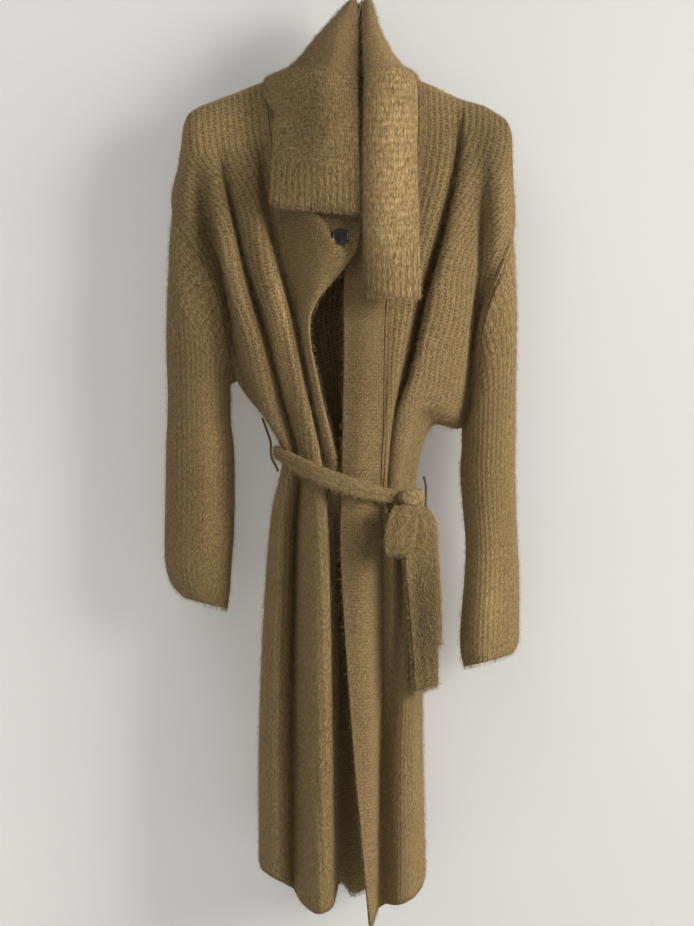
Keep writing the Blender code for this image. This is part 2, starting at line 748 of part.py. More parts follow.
def belt_run(path):
    """The oval roll of the belt carried once round the waist and closed on itself."""
    along = unit(np.roll(path, -1, 0) - np.roll(path, 1, 0))
    sideways = np.stack([along[:, 1], -along[:, 0], np.zeros(len(path))], -1)
    middle = np.stack([path[:, 0], path[:, 1], belt_height(path[:, 0])], -1)
    turn = np.linspace(0, 2 * math.pi, 10, endpoint=False)
    rings = middle[:, None] + sideways[:, None] * BELT_HALF_DEPTH * np.cos(turn)[:, None]
    rings[..., 2] += belt_half(path[:, 0])[:, None] * np.sin(turn)
    mesh = bmesh.new()
    verts = [[mesh.verts.new(point * MM) for point in ring] for ring in rings]
    for i in range(len(verts)):
        one, two = verts[i], verts[(i + 1) % len(verts)]
        for j in range(len(one)):
            k = (j + 1) % len(one)
            mesh.faces.new((one[j], two[j], two[k], one[k]))
    bmesh.ops.recalc_face_normals(mesh, faces=mesh.faces)
    return new_object("belt_run", mesh, KNIT)


waist = waist_path([right_grid, left_grid, back_grid])
waist = (waist + (np.roll(waist, 1, 0) + np.roll(waist, -1, 0)) / 2) / 2
belt_run(waist)


def strap(name, rows, steps, slant=0.0, turn=0.0):
    """A flat strap that follows the rows of its table, with its lower end cut on the slant."""
    rows = smooth(np.array(rows, float) * (1, -1, 1, 1), (steps,) * (len(rows) - 1))
    share = np.linspace(-1, 1, 5)
    grid = np.repeat(rows[:, None, :3], len(share), axis=1)
    grid[..., 0] += rows[:, 3:] * share
    grid[..., 1] += 2.0 * share**2 + rows[:, 3:] * share * turn
    grid[-1, :, 2] += rows[-1, 3] * slant * share
    return shell(name, grid)


strap("belt_bow", BOW, 2)
strap("belt_tail_front", FRONT_TAIL, 2, TAIL_SLANT, TAIL_TURN)
strap("belt_tail_back", BACK_TAIL, 2, TAIL_SLANT, TAIL_TURN)


def knot(path):
    """The knot: a ball drawn out to three half sizes and a little squared, laid on the belt."""
    front = path[path[:, 1] < 0]
    front = front[np.argsort(front[:, 0])]
    out = np.array((math.sin(KNOT_TURN), -math.cos(KNOT_TURN)))
    at = np.array((KNOT_ACROSS, np.interp(KNOT_ACROSS, front[:, 0], front[:, 1])))
    at = at + out * (BELT_HALF_DEPTH + KNOT_CLEAR + KNOT_HALF[1])
    mesh = bmesh.new()
    bmesh.ops.create_uvsphere(mesh, u_segments=14, v_segments=8, radius=1)
    for vert in mesh.verts:
        x, y, z = (math.copysign(abs(value) ** 0.8, value) * half for value, half in zip(vert.co, KNOT_HALF))
        vert.co.x = (at[0] - out[1] * x - out[0] * y) * MM
        vert.co.y = (at[1] + out[0] * x - out[1] * y) * MM
        vert.co.z = (belt_height(KNOT_ACROSS) + z) * MM
    return new_object("belt_knot", mesh, KNIT)


knot(waist)


def cord(name, path, radius, look, sides=8):
    """A round cord through the points of its path."""
    path = np.array(path, float)
    along = unit(np.gradient(path, axis=0))
    across = unit(np.cross(along, (0, 1, 0)))
    third = np.cross(along, across)
    turn = np.linspace(0, 2 * math.pi, sides, endpoint=False)[:, None]
    rings = [p + radius * (np.cos(turn) * a + np.sin(turn) * b) for p, a, b in zip(path, across, third)]
    return bar(name, rings, look)


for name, path in (("belt_loop_right", LOOP_RIGHT), ("belt_loop_left", LOOP_LEFT)):
    cord(name, smooth(path, (2,) * (len(path) - 1)), LOOP_RADIUS, KNIT, 6)


def button():
    """The button: a plain disc that faces forward."""
    turn = np.linspace(0, 2 * math.pi, 24, endpoint=False)
    rings = []
    for back, radius in ((2, 1), (-1, 1), (-2, 0.86)):
        across = BUTTON_AT[0] + BUTTON_RADIUS * radius * np.cos(turn)
        up = BUTTON_AT[2] + BUTTON_RADIUS * radius * np.sin(turn)
        rings.append(np.stack([across, np.full(24, back - BUTTON_AT[1]), up], -1))
    return bar("button", rings, HORN)


button()


def hanger_bar():
    """The bar: oval sections from tip to tip, over the peak at its middle."""
    turn = np.linspace(0, 2 * math.pi, 12, endpoint=False)
    rings = []
    for across, up, half_height, half_depth in smooth(HANGER_BAR, (1, 3, 2, 2, 3, 1)):
        ring = (np.full(12, across), half_depth * np.cos(turn), up + half_height * np.sin(turn))
        rings.append(np.stack(ring, -1))
    return bar("hanger_bar", rings, WOOD)


def hanger_hook():
    """The hook: one wire from the bar's peak up through the collar and over the rail."""
    bend = HOOK_BEND + HOOK_WIRE
    path = [(across, up) for across, up in smooth(HOOK_STEM, (2,) * (len(HOOK_STEM) - 1))]
    for turn in np.radians(np.arange(0, 200, 18)):
        path.append((bend * math.cos(turn), bend * math.sin(turn) - HOOK_BEND))
    return cord("hanger_hook", [(across, 0, up) for across, up in path], HOOK_WIRE, STEEL, 10)


hanger_bar()
hanger_hook()
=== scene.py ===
# %% [markdown]
# # A belted long cardigan on a hanger
# The cardigan is one big drape of brushed camel knit. It was cut as a back, two fronts, two
# front bands, two sleeves and a collar, and a soft knitted belt gathers it at the waist. Each
# piece is worked out here as a grid of points: a few fold lines, named from the side seam to the
# front edge, are carried down the body from the shoulder to the hem, and the cloth is the smooth
# surface through them. Ribs, stitches and hairs are then laid on that surface.

# %% Load the frame
import json
import math

import bpy
import numpy as np
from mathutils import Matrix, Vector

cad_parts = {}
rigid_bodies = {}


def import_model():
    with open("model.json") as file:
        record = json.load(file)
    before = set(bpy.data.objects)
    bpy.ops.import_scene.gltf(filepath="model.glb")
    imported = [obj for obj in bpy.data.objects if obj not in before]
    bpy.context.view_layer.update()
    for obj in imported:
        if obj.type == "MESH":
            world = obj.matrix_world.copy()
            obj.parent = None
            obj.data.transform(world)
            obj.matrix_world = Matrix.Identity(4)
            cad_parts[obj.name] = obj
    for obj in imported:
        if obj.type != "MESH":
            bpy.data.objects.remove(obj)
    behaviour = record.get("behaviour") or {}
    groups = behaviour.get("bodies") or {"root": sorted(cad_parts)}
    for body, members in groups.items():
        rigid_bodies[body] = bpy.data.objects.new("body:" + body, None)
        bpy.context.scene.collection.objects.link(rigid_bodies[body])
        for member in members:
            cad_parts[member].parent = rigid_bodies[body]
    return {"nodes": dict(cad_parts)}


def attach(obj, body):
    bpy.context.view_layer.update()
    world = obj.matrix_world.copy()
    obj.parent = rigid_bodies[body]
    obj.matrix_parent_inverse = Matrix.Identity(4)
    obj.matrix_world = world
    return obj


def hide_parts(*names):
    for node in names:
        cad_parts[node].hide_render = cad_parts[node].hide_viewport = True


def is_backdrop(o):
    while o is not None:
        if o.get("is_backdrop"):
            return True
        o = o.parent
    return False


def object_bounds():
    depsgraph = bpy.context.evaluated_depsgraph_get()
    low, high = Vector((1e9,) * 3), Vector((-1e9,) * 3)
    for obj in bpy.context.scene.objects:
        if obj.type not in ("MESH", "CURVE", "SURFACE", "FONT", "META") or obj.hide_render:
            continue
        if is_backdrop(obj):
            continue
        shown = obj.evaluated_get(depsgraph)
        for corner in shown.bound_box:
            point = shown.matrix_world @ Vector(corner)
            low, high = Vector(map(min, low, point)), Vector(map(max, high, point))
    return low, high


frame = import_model()
solid_box = [list(corner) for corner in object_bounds()]
MM = 0.001
dice = np.random.default_rng(7)
print("solids:", ", ".join(sorted(frame["nodes"])))

# %% [markdown]
# ## Camera, light and wall
# A knit shows its ribs when light rakes across it, but a hard light would make the hairs
# glitter. So one wide soft light stands to the right and front, a weaker one fills the left,
# and a pale wall stands close behind, where the cardigan hangs, and takes its soft shadow.
# A lamp low on the left lights the room's surfaces alone, so that the wall stays pale there.
# The wall is one-sided: from behind the camera sees through it.


# %% One function adds a node
def join(tree, value, socket):
    """Gives a socket a number, an output, or the first output of a node."""
    if isinstance(value, bpy.types.Node):
        value = next(output for output in value.outputs if output.enabled)
    if isinstance(value, bpy.types.NodeSocket):
        tree.links.new(value, socket)
    else:
        socket.default_value = value


def add(tree, kind, *values, **named):
    """Adds a node. Values fill its sockets in order, and names with a capital fill the rest.

    Names in small letters are the node's own settings, which come first, because they decide
    which sockets it has.
    """
    node = tree.nodes.new("ShaderNode" + kind)
    for name in [name for name in named if name.islower()]:
        setattr(node, name, named.pop(name))
    for key, value in [*enumerate(values), *named.items()]:
        join(tree, value, node.inputs[key])
    return node


def linear(code):
    """An sRGB hex code as linear red, green, blue and alpha."""
    parts = np.array([int(code[i : i + 2], 16) for i in (1, 3, 5)]) / 255
    parts = np.where(parts <= 0.04045, parts / 12.92, ((parts + 0.055) / 1.055) ** 2.4)
    return (*parts.tolist(), 1.0)


def new_finish(name, values):
    """A new material, its node tree and its surface shader with the named values set."""
    made = bpy.data.materials.new(name)
    made.use_nodes = True
    surface = made.node_tree.nodes["Principled BSDF"]
    for key, value in values.items():
        surface.inputs[key].default_value = value
    return made, made.node_tree, surface


# %% Camera
scene = bpy.context.scene
camera = bpy.data.objects.new("camera", bpy.data.cameras.new("camera"))
camera.data.sensor_fit = "VERTICAL"
camera.data.sensor_height = 36.0
camera.data.lens = 72.9
camera.location = (-0.010, -2.4, -0.628)
camera.rotation_euler = (math.radians(90), 0, 0)
scene.collection.objects.link(camera)
scene.camera = camera


# %% Lights
def soft_light(name, place, aim, size, watts, colour):
    """A square area light at a place, turned to face the point that it aims at."""
    lamp = bpy.data.lights.new(name, "AREA")
    lamp.size = size
    lamp.energy = watts
    lamp.color = linear(colour)[:3]
    thing = bpy.data.objects.new(name, lamp)
    thing.location = place
    look = np.array(aim) - np.array(place)
    flat = math.hypot(look[0], look[1])
    thing.rotation_euler = (math.atan2(flat, -look[2]), 0, math.atan2(-look[0], look[1]))
    scene.collection.objects.link(thing)
    return thing


soft_light("window", (3.1, -1.5, 0.2), (0, 0, -0.6), 1.6, 146, "#fffcf6")
soft_light("room", (-0.9, -2.9, 0.3), (0, 0, -0.65), 2.4, 7, "#f8f8ff")
soft_light("ceiling", (-0.8, -0.9, 1.3), (0, 0, -0.4), 1.2, 8, "#ffffff")
soft_light("behind", (-0.9, 2.3, 0.5), (0, 0, -0.6), 2.0, 30, "#f6f4ff")
wash = soft_light("wall wash", (-1.7, -1.6, -1.25), (-0.5, 0.06, -1.15), 1.0, 23, "#fffdf8")

world = bpy.data.worlds.new("studio")
scene.world = world
world.use_nodes = True
world.node_tree.nodes["Background"].inputs["Color"].default_value = linear("#e9eaec")
world.node_tree.nodes["Background"].inputs["Strength"].default_value = 0.26
scene.view_settings.view_transform = "Standard"


# %% Wall and floor
def painted_wall():
    """Plaster with matt emulsion paint: pale grey, a little uneven, and clear from behind."""
    made, tree, paint = new_finish("painted plaster", {"Roughness": 0.85})
    where = add(tree, "TexCoord").outputs["Object"]
    blotch = add(tree, "TexNoise", Vector=where, Scale=2.2, Detail=3.0)
    shades = {"A": linear("#c6c6c5"), "B": linear("#cdcdcb")}
    tone = add(tree, "Mix", data_type="RGBA", Factor=blotch, **shades)
    join(tree, tone, paint.inputs["Base Color"])
    roller = add(tree, "TexNoise", Vector=where, Scale=420.0, Detail=2.0)
    grain = add(tree, "Bump", Height=roller, Distance=0.0004, Strength=0.25)
    join(tree, grain, paint.inputs["Normal"])
    clear = add(tree, "BsdfTransparent")
    side = add(tree, "NewGeometry").outputs["Backfacing"]
    both = add(tree, "MixShader", side, paint, clear)
    join(tree, both, tree.nodes["Material Output"].inputs["Surface"])
    return made


def stage_plane(name, corners, look):
    """A flat four-cornered piece of the room, which isn't part of the cardigan."""
    data = bpy.data.meshes.new(name)
    data.from_pydata(corners, [], [(0, 1, 2, 3)])
    data.materials.append(look)
    thing = bpy.data.objects.new(name, data)
    scene.collection.objects.link(thing)
    thing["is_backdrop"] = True
    return thing


WALL_BEHIND = 0.064
WALL_TOP = 2.5
FLOOR_AT = -1.75
REACH = 4
LEFT_RIGHT = (-REACH, REACH)
plaster = painted_wall()
wall_corners = [(x, WALL_BEHIND, FLOOR_AT) for x in LEFT_RIGHT]
wall_corners += [(x, WALL_BEHIND, WALL_TOP) for x in LEFT_RIGHT[::-1]]
floor_corners = [(x, -REACH, FLOOR_AT) for x in LEFT_RIGHT]
floor_corners += [(x, REACH, FLOOR_AT) for x in LEFT_RIGHT[::-1]]
backdrop = stage_plane("wall", wall_corners, plaster)
backdrop.visible_shadow = False
floor = stage_plane("floor", floor_corners, plaster)
wall_only = bpy.data.collections.new("lit by the wall wash")
for thing in (backdrop, floor):
    wall_only.objects.link(thing)
wash.light_linking.receiver_collection = wall_only
wash.light_linking.blocker_collection = wall_only

# %% [markdown]
# ## The body's fold lines
# Cloth that hangs from a bar and is tied at the waist gathers into long rolls. A simulation
# finds rolls of its own, but these have to lie where this cardigan has them, so they are drawn
# as a pattern cutter draws: each fold line is a row, and at each named level it says how far
# across and how far forward the cloth lies. All sizes are in millimetres from the hook's rest.

# %% Levels of the body
LEVELS = ("shoulder", "yoke", "arm top", "arm mid", "underarm", "ribs", "belt", "hip", "knee", "hem")
RIGHT_BAND_Z = (-140, -220, -297, -361, -447, -530, -648, -730, -924, -1150)
RIGHT_SIDE_Z = (-188, -244, -302, -402, -522, -573, -613, -695, -932, -1136)
LEFT_BAND_Z = (-138, -220, -342, -406, -482, -560, -664, -740, -961, -1184)
LEFT_SIDE_Z = (-197, -264, -332, -442, -581, -579, -671, -752, -990, -1150)

# %% The wearer's right front, from its side seam to its front edge
RIGHT_FRONT = {
    "side": (
        (-219, -224, -233, -178, -150, -112, -91, -105, -120, -122),
        (0, 0, 0, 33, 0, 0, 0, 0, -5, -5),
    ),
    "flank": (
        (-212, -212, -214, -173, -147, -111, -90, -105, -119, -120),
        (0, 24, 30, 19, 3, 10, 12, 12, 10, 8),
    ),
    "arm dip": (
        (-204, -198, -191, -167, -143, -109, -88, -103, -117, -116),
        (0, 30, 27, 9, 9, 26, 34, 34, 34, 32),
    ),
    "first crest": (
        (-196, -186, -177, -158, -129, -107, -84, -92, -101, -100),
        (0, 31, 40, 54, 60, 66, 74, 62, 60, 58),
    ),
    "first brow": (
        (-190, -178, -165, -145, -115, -96, -75, -82, -88, -87),
        (0, 30, 37, 50, 60, 66, 72, 54, 50, 54),
    ),
    "first crease": (
        (-185, -172, -159, -140, -109, -90, -70, -74, -78, -77),
        (0, 26, 16, 14, 26, 38, 52, 32, 28, 40),
    ),
    "second rise": (
        (-172, -159, -149, -132, -101, -83, -64, -65, -66, -65),
        (0, 29, 34, 43, 54, 64, 74, 62, 58, 64),
    ),
    "second crest": (
        (-152, -139, -132, -116, -89, -71, -52, -48, -46, -45),
        (0, 32, 43, 58, 72, 82, 92, 90, 88, 86),
    ),
    "second brow": (
        (-140, -127, -122, -105, -80, -63, -42, -36, -32, -31),
        (0, 31, 40, 55, 70, 80, 90, 90, 88, 84),
    ),
    "second crease": (
        (-132, -119, -115, -99, -77, -61, -37, -31, -26, -25),
        (0, 28, 18, 24, 38, 54, 78, 76, 70, 70),
    ),
    "band seam": (
        (-114, -105, -95, -86, -71, -56, -33, -26, -21, -20),
        (0, 30, 34, 40, 52, 64, 80, 70, 60, 60),
    ),
}
RIGHT_BAND = {
    "inner face": (
        (-100, -85, -66, -48, -65, -52, -27, -21, -16, -15),
        (10, 40, 60, 70, 74, 82, 86, 61, 46, 46),
    ),
    "inner edge": (
        (-90, -62, -20, -16, -56, -46, -20, -10, -4, -2),
        (14, 44, 60, 74, 81, 85, 86, 50, 36, 36),
    ),
    "tuck": (
        (-80, -45, 4, 2, -58, -46, -12, 12, 18, 19),
        (18, 42, 58, 70, 66, 72, 76, 42, 34, 34),
    ),
}

# %% The left front
LEFT_FRONT = {
    "side": (
        (200, 201, 202, 165, 138, 99, 73, 81, 84, 88),
        (0, 0, 0, 34, 0, 0, -4, 0, -5, -5),
    ),
    "flank": (
        (194, 195, 195, 161, 135, 97, 72, 81, 84, 87),
        (0, 20, 24, 26, 8, 12, 24, 28, 28, 26),
    ),
    "arm crest": (
        (184, 184, 184, 158, 132, 94, 69, 79, 80, 82),
        (0, 33, 38, 14, 15, 22, 44, 52, 52, 50),
    ),
    "arm brow": (
        (176, 174, 172, 154, 129, 90, 67, 76, 77, 77),
        (0, 34, 35, 8, 22, 31, 50, 60, 60, 58),
    ),
    "arm valley": (
        (168, 164, 161, 150, 125, 86, 64, 74, 73, 73),
        (0, 31, 22, 12, 31, 40, 57, 68, 68, 66),
    ),
    "wing edge": (
        (160, 154, 150, 144, 119, 81, 60, 71, 69, 68),
        (0, 31, 32, 33, 41, 49, 65, 73, 73, 72),
    ),
    "wing crest": (
        (150, 143, 127, 108, 86, 69, 51, 67, 61, 60),
        (0, 32, 43, 57, 64, 70, 80, 77, 77, 76),
    ),
    "wing lip": (
        (142, 136, 116, 94, 72, 55, 43, 62, 53, 52),
        (0, 30, 42, 55, 65, 72, 81, 76, 74, 74),
    ),
    "wing crease": (
        (136, 133, 116, 95, 71, 52, 39, 58, 47, 46),
        (0, 18, 12, 14, 26, 42, 74, 72, 62, 66),
    ),
    "roll crest": (
        (118, 118, 96, 75, 54, 44, 36, 46, 42, 38),
        (0, 30, 42, 51, 66, 77, 87, 84, 56, 60),
    ),
    "band seam": (
        (80, 79, 52, 40, 36, 35, 33, 34, 34, 28),
        (0, 30, 42, 52, 66, 76, 84, 72, 56, 62),
    ),
}
LEFT_BAND = {
    "face": (
        (72, 59, 22, 14, 12, 10, 8, 8, 16, 22),
        (10, 36, 48, 60, 78, 90, 97, 94, 90, 86),
    ),
    "edge": (
        (68, 35, -10, -14, -14, -15, -17, -18, -4, 18),
        (14, 38, 48, 56, 74, 86, 93, 92, 95, 98),
    ),
}

# %% Lifts near the armhole and drops at the hem
ARM_LIFT = {
    "flank": {"underarm": 2},
    "arm crest": {"underarm": 3},
    "arm brow": {"underarm": 5},
    "arm valley": {"underarm": 6, "ribs": 3},
    "wing edge": {"underarm": 7, "ribs": 5},
}
HEM_DROP = {
    "flank": 4,
    "arm dip": 5,
    "first crest": 8,
    "first brow": 14,
    "first crease": 22,
    "second rise": 33,
    "second crest": 38,
    "second brow": 31,
    "second crease": 20,
    "inner face": 2,
    "inner edge": 20,
    "tuck": 13,
    "arm crest": 8,
    "arm brow": 9,
    "arm valley": 10,
    "wing edge": 9,
    "wing crest": 8,
    "wing lip": 6,
    "wing crease": 4,
    "face": 8,
    "edge": 16,
}

# %% How far each line lies above a straight shoulder
SHOULDER_LIFT = {
    "side": -13,
    "flank": 3,
    "arm dip": 5,
    "first crest": 6,
    "first brow": 5,
    "first crease": 5,
    "second rise": 4,
    "second crest": 2,
    "arm crest": 6,
    "arm brow": 7,
    "arm valley": 8,
    "wing edge": 7,
    "wing crest": 5,
    "wing lip": 3,
    "wing crease": 2,
}

# %% The back
BACK_SHARES = (0.04, 0.13, 0.25, 0.36, 0.49, 0.62, 0.725, 0.86, 0.96)
BACK_FULLNESS = (0.5, 0.9, 1.0, 1.0, 1.0, 1.0, 1.0, 0.9, 0.5)
BACK_DEPTH = (0, 25, 28, 29, 31, 33, 34, 38, 40, 38)
BACK_WAVE = (0, 2, 4, 6, 7, 7, 6, 8, 9, 9)
BACK_WAVES = 4
BACK_NECK = ((-70, 24, -148), (-14, 37, -150), (42, 24, -148))

# %% Sleeves: height, tilt, middle, half width and half depth of each oval section
RIGHT_SLEEVE = (
    (-448, 80, -199, 39, 36),
    (-508, 40, -200, 40, 34),
    (-562, 12, -199, 39, 32),
    (-606, 3, -198, 42, 31),
    (-660, 0, -198, 43, 31),
    (-720, 0, -199, 43, 31),
    (-758, 0, -200, 41, 30),
    (-787, 4, -197, 36, 28),
    (-805, 8, -192, 28, 24),
)
LEFT_SLEEVE = (
    (-510, 88, 172, 34, 37),
    (-572, 38, 172, 34, 35),
    (-628, 11, 170, 34, 32),
    (-680, 2, 172, 33, 30),
    (-733, 0, 175, 32, 29),
    (-780, 0, 175, 34, 30),
    (-829, 0, 173, 36, 30),
    (-861, 3, 172, 36, 29),
    (-878, 9, 171, 31, 27),
)

# %% The collar's lines: across, forward and up at the top, half way, the neck and below
COLLAR = {
    "flap slit": ((2, 14, -40), (4, 35, -85), (3, 52, -140), (4, 68, -215), (6, 78, -318)),
    "flap face": ((-3, 16, -38), (-23, 38, -84), (-44, 58, -140), (-48, 72, -212), (-50, 80, -312)),
    "flap side": ((-6, 9, -39), (-42, 26, -84), (-94, 38, -142), (-101, 56, -212), (-106, 66, -299)),
    "neck right": ((-8, 2, -39), (-46, 6, -84), (-113, 0, -137)),
    "side right": ((-7, -3, -39), (-40, -8, -82), (-100, -13, -138)),
    "back right": ((-4, -7, -39), (-26, -15, -78), (-66, -18, -150)),
    "back": ((5, -9, -38), (0, -22, -78), (-14, -29, -155)),
    "back left": ((14, -7, -39), (22, -15, -78), (38, -18, -150)),
    "side left": ((18, -3, -39), (29, -8, -82), (70, -13, -138)),
    "neck left": ((20, 2, -39), (32, 6, -84), (79, 0, -135)),
    "roll back": ((21, 6, -39), (33, 18, -84), (74, 30, -139), (60, 56, -240), (58, 72, -400)),
    "roll side": ((20, 11, -39), (32, 30, -84), (72, 48, -144), (76, 68, -260), (80, 86, -420)),
    "roll crest": ((17, 16, -38), (24, 42, -84), (52, 68, -142), (52, 88, -270), (50, 102, -424)),
    "roll face": ((12, 15, -40), (12, 40, -86), (18, 64, -142), (16, 82, -270), (19, 96, -420)),
    "roll slit": ((9, 11, -41), (10, 31, -88), (12, 50, -145), (9, 70, -270), (14, 84, -416)),
}

# %% [markdown]
# ## From fold lines to a surface
# The lines are joined by Catmull-Rom curves, first down the body and then across it. Such a
# curve passes through every given point, which a Bezier or a subdivided cage doesn't, so a
# number in a table is where the cloth really is.


# %% Curves, lengths and normals
def smooth(points, steps):
    """A smooth curve through rows of points, with steps[i] even steps from row i to the next.

    Each stretch is a Catmull-Rom curve. Its knots are apart by the square root of the distance,
    so that close rows make no loops. A row may hold many points, and all are carried at once.
    """
    points = np.asarray(points, float)
    run = np.concatenate([2 * points[:1] - points[1:2], points, 2 * points[-1:] - points[-2:-1]])
    gaps = np.sqrt(np.linalg.norm(np.diff(run, axis=0), axis=-1, keepdims=True)) + 1e-6
    out = []
    for i, count in enumerate(steps):
        a, b, c, d = run[i : i + 4]
        ta, tb, tc = gaps[i : i + 3]
        for step in range(count + (i == len(steps) - 1)):
            t = ta + tb * step / count
            ab = a + (b - a) * t / ta
            bc = b + (c - b) * (t - ta) / tb
            cd = c + (d - c) * (t - ta - tb) / tc
            abc = ab + (bc - ab) * t / (ta + tb)
            bcd = bc + (cd - bc) * (t - ta) / (tb + tc)
            out.append(abc + (bcd - abc) * (t - ta) / tb)
    return np.array(out)


def unit(vectors):
    """The same directions with length one."""
    return vectors / np.maximum(np.linalg.norm(vectors, axis=-1, keepdims=True), 1e-9)


def normals(grid):
    """Unit normals of a grid: the slope down its rows crossed with the slope along them."""
    return unit(np.cross(np.gradient(grid, axis=0), np.gradient(grid, axis=1)))


def lengths(grid, axis):
    """How far each line of the grid lies from the first, as the mean distance over the grid."""
    gaps = np.linalg.norm(np.diff(grid, axis=axis), axis=-1).mean(1 - axis)
    return np.concatenate([[0], np.cumsum(gaps)])


def picked(grid, places):
    """A grid's columns at fractional places, straight between the two nearest ones."""
    low = np.minimum(places.astype(int), grid.shape[1] - 2)
    share = (places - low)[None, :, None]
    return grid[:, low] * (1 - share) + grid[:, low + 1] * share


# %% The nets of both fronts and of the back
FIRST_ROWS = 6
ROWS = (FIRST_ROWS, 10, 10, 8, 11, 10, 13, 10, 22, 26)
DENSE = 10
BAR_RISE = 9.0
BAR_DROP = 7
BAR_LEAN = 0.06
ARM_TOP = sum(ROWS[:3])
ARM_MID = sum(ROWS[:4])
UNDERARM = sum(ROWS[:5])


def front_lines(folds, band, side_z, band_z):
    """The table's fold lines as points: a level's height runs straight from side to band."""
    side_x, seam_x = (np.array(folds[name][0], float) for name in ("side", "band seam"))
    side_z, band_z = np.array(side_z, float), np.array(band_z, float)
    net = []
    for name, (across, forward) in {**folds, **band}.items():
        across = np.array(across, float)
        up = side_z + (band_z - side_z) * np.clip((across - side_x) / (seam_x - side_x), 0, 1)
        up[0] += SHOULDER_LIFT.get(name, 0)
        up[-1] -= HEM_DROP.get(name, 0)
        for level, lift in ARM_LIFT.get(name, {}).items() if side_x[0] > 0 else ():
            up[LEVELS.index(level)] += lift
        net.append(np.stack([across, -np.array(forward, float), up], -1))
    return np.array(net).swapaxes(0, 1)


def over_the_bar(net, way):
    """Adds a level under the shoulder seam, where the cloth has turned down over the hanger."""
    turned = net[:1].copy()
    turned[..., 1] += way * BAR_RISE * (np.abs(turned[..., 1]) < 1)
    turned[..., 2] -= BAR_DROP
    turned[..., 0] += (net[1:2, :, 0] - turned[..., 0]) * BAR_LEAN
    return np.concatenate([net[:1], turned, net[1:]])


def back_lines(right, left):
    """The back's lines, between the side seams of both fronts and hung from their heights."""
    seams = [list(table).index("band seam") for table in (RIGHT_FRONT, LEFT_FRONT)]
    ends = (right[:, 0], right[:, seams[0]], left[:, seams[1]], left[:, 0])
    net = [ends[0] * (1, 0, 1)]
    for share, full in zip(BACK_SHARES, BACK_FULLNESS):
        line = ends[0] + (ends[3] - ends[0]) * share
        rise = np.interp(share, (0, 0.25, 0.725, 1), (0, 1, 2, 3))
        low = int(rise)
        line[:, 2] = ends[low][:, 2] * (1 - rise + low) + ends[min(low + 1, 3)][:, 2] * (rise - low)
        wave = math.cos(2 * math.pi * BACK_WAVES * share)
        line[:, 1] = full * np.array(BACK_DEPTH) + np.array(BACK_WAVE) * wave * full
        net.append(line)
    net.append(ends[3] * (1, 0, 1))
    net = np.array(net).swapaxes(0, 1)
    shoulders = np.concatenate([right[0, : seams[0] + 1], left[0, seams[1] :: -1]])
    net[0, :, 2] = np.interp(net[0, :, 0], shoulders[:, 0], shoulders[:, 2])
    for place, point in zip((4, 5, 6), BACK_NECK):
        net[0, place] = point
    arm_mid = LEVELS.index("arm mid")
    for column, end, way in ((0, ends[0], 1), (-1, ends[3], -1)):
        net[arm_mid, column] = end[arm_mid] * (1, -1, 1)
        for step, deeper in ((1, 4), (2, 8)):
            net[arm_mid, column + step * way, 1] = deeper - end[arm_mid, 1]
        net[LEVELS.index("underarm"), column, 1] = 0
        net[LEVELS.index("ribs") :, column, 1] = end[LEVELS.index("ribs") :, 1]
    return net


def joined_sides(front, back):
    """Makes both side lines one line, but for the two halves of the armhole."""
    front[: ARM_TOP + 1, 1] = 0
    rise = np.linspace(0, 1, ARM_MID - ARM_TOP + 1)
    front[ARM_TOP : ARM_MID + 1, 1] = front[ARM_MID, 1] * np.sqrt(rise * (2 - rise))
    back[:] = front
    front[ARM_TOP:UNDERARM, 1] = -np.abs(front[ARM_TOP:UNDERARM, 1])
    back[ARM_TOP:UNDERARM, 1] = np.abs(front[ARM_TOP:UNDERARM, 1])


def beyond(own, other):
    """The line past a seam: the other panel's, or the own cloth carried on at the armhole."""
    line = other[:, 1].copy()
    carried = 2 * own[:, 0] - own[:, 1]
    apart = np.abs(own[:, 0, 1] - other[:, 0, 1])
    line += (carried - line) * (apart / apart.max())[:, None]
    line[0] = carried[0]
    return line


def filled(rows, before, after=None):
    """Lines filled across to a dense grid of points and normals that agree across each seam."""
    extra = [line[:, None] for line in (before, after) if line is not None]
    rows = np.concatenate([extra[0], rows, *extra[1:]], axis=1)
    inner = rows.shape[1] - 2 - (after is not None)
    grid = smooth(rows.swapaxes(0, 1), (1,) + (DENSE,) * inner + (1,) * (after is not None))
    grid = grid.swapaxes(0, 1)
    if after is not None:
        low = BAR_RISE * np.linspace(0, 1, FIRST_ROWS + 1)[:, None]
        place = np.arange(grid.shape[1] - 2)
        low = low * np.clip(np.minimum(place, place[::-1]) / DENSE, 0, 1)
        grid[: FIRST_ROWS + 1, 1:-1, 1] = np.maximum(grid[: FIRST_ROWS + 1, 1:-1, 1], low)
    on_seam = np.abs(grid[0, :, 1:2]) < 1
    above = np.where(on_seam, grid[1] * (1, -1, 1), 2 * grid[0] - grid[1])
    facing = normals(np.concatenate([above[None], grid]))[1:]
    inside = slice(1, grid.shape[1] - (after is not None))
    return grid[:, inside], facing[:, inside]


right_net = front_lines(RIGHT_FRONT, RIGHT_BAND, RIGHT_SIDE_Z, RIGHT_BAND_Z)
left_net = front_lines(LEFT_FRONT, LEFT_BAND, LEFT_SIDE_Z, LEFT_BAND_Z)
back_net = back_lines(right_net, left_net)
right_rows = smooth(over_the_bar(right_net, -1), ROWS)
left_rows = smooth(over_the_bar(left_net, -1), ROWS)
back_rows = smooth(over_the_bar(back_net, 1), ROWS)
joined_sides(right_rows[:, 0], back_rows[:, 0])
joined_sides(left_rows[:, 0], back_rows[:, -1])

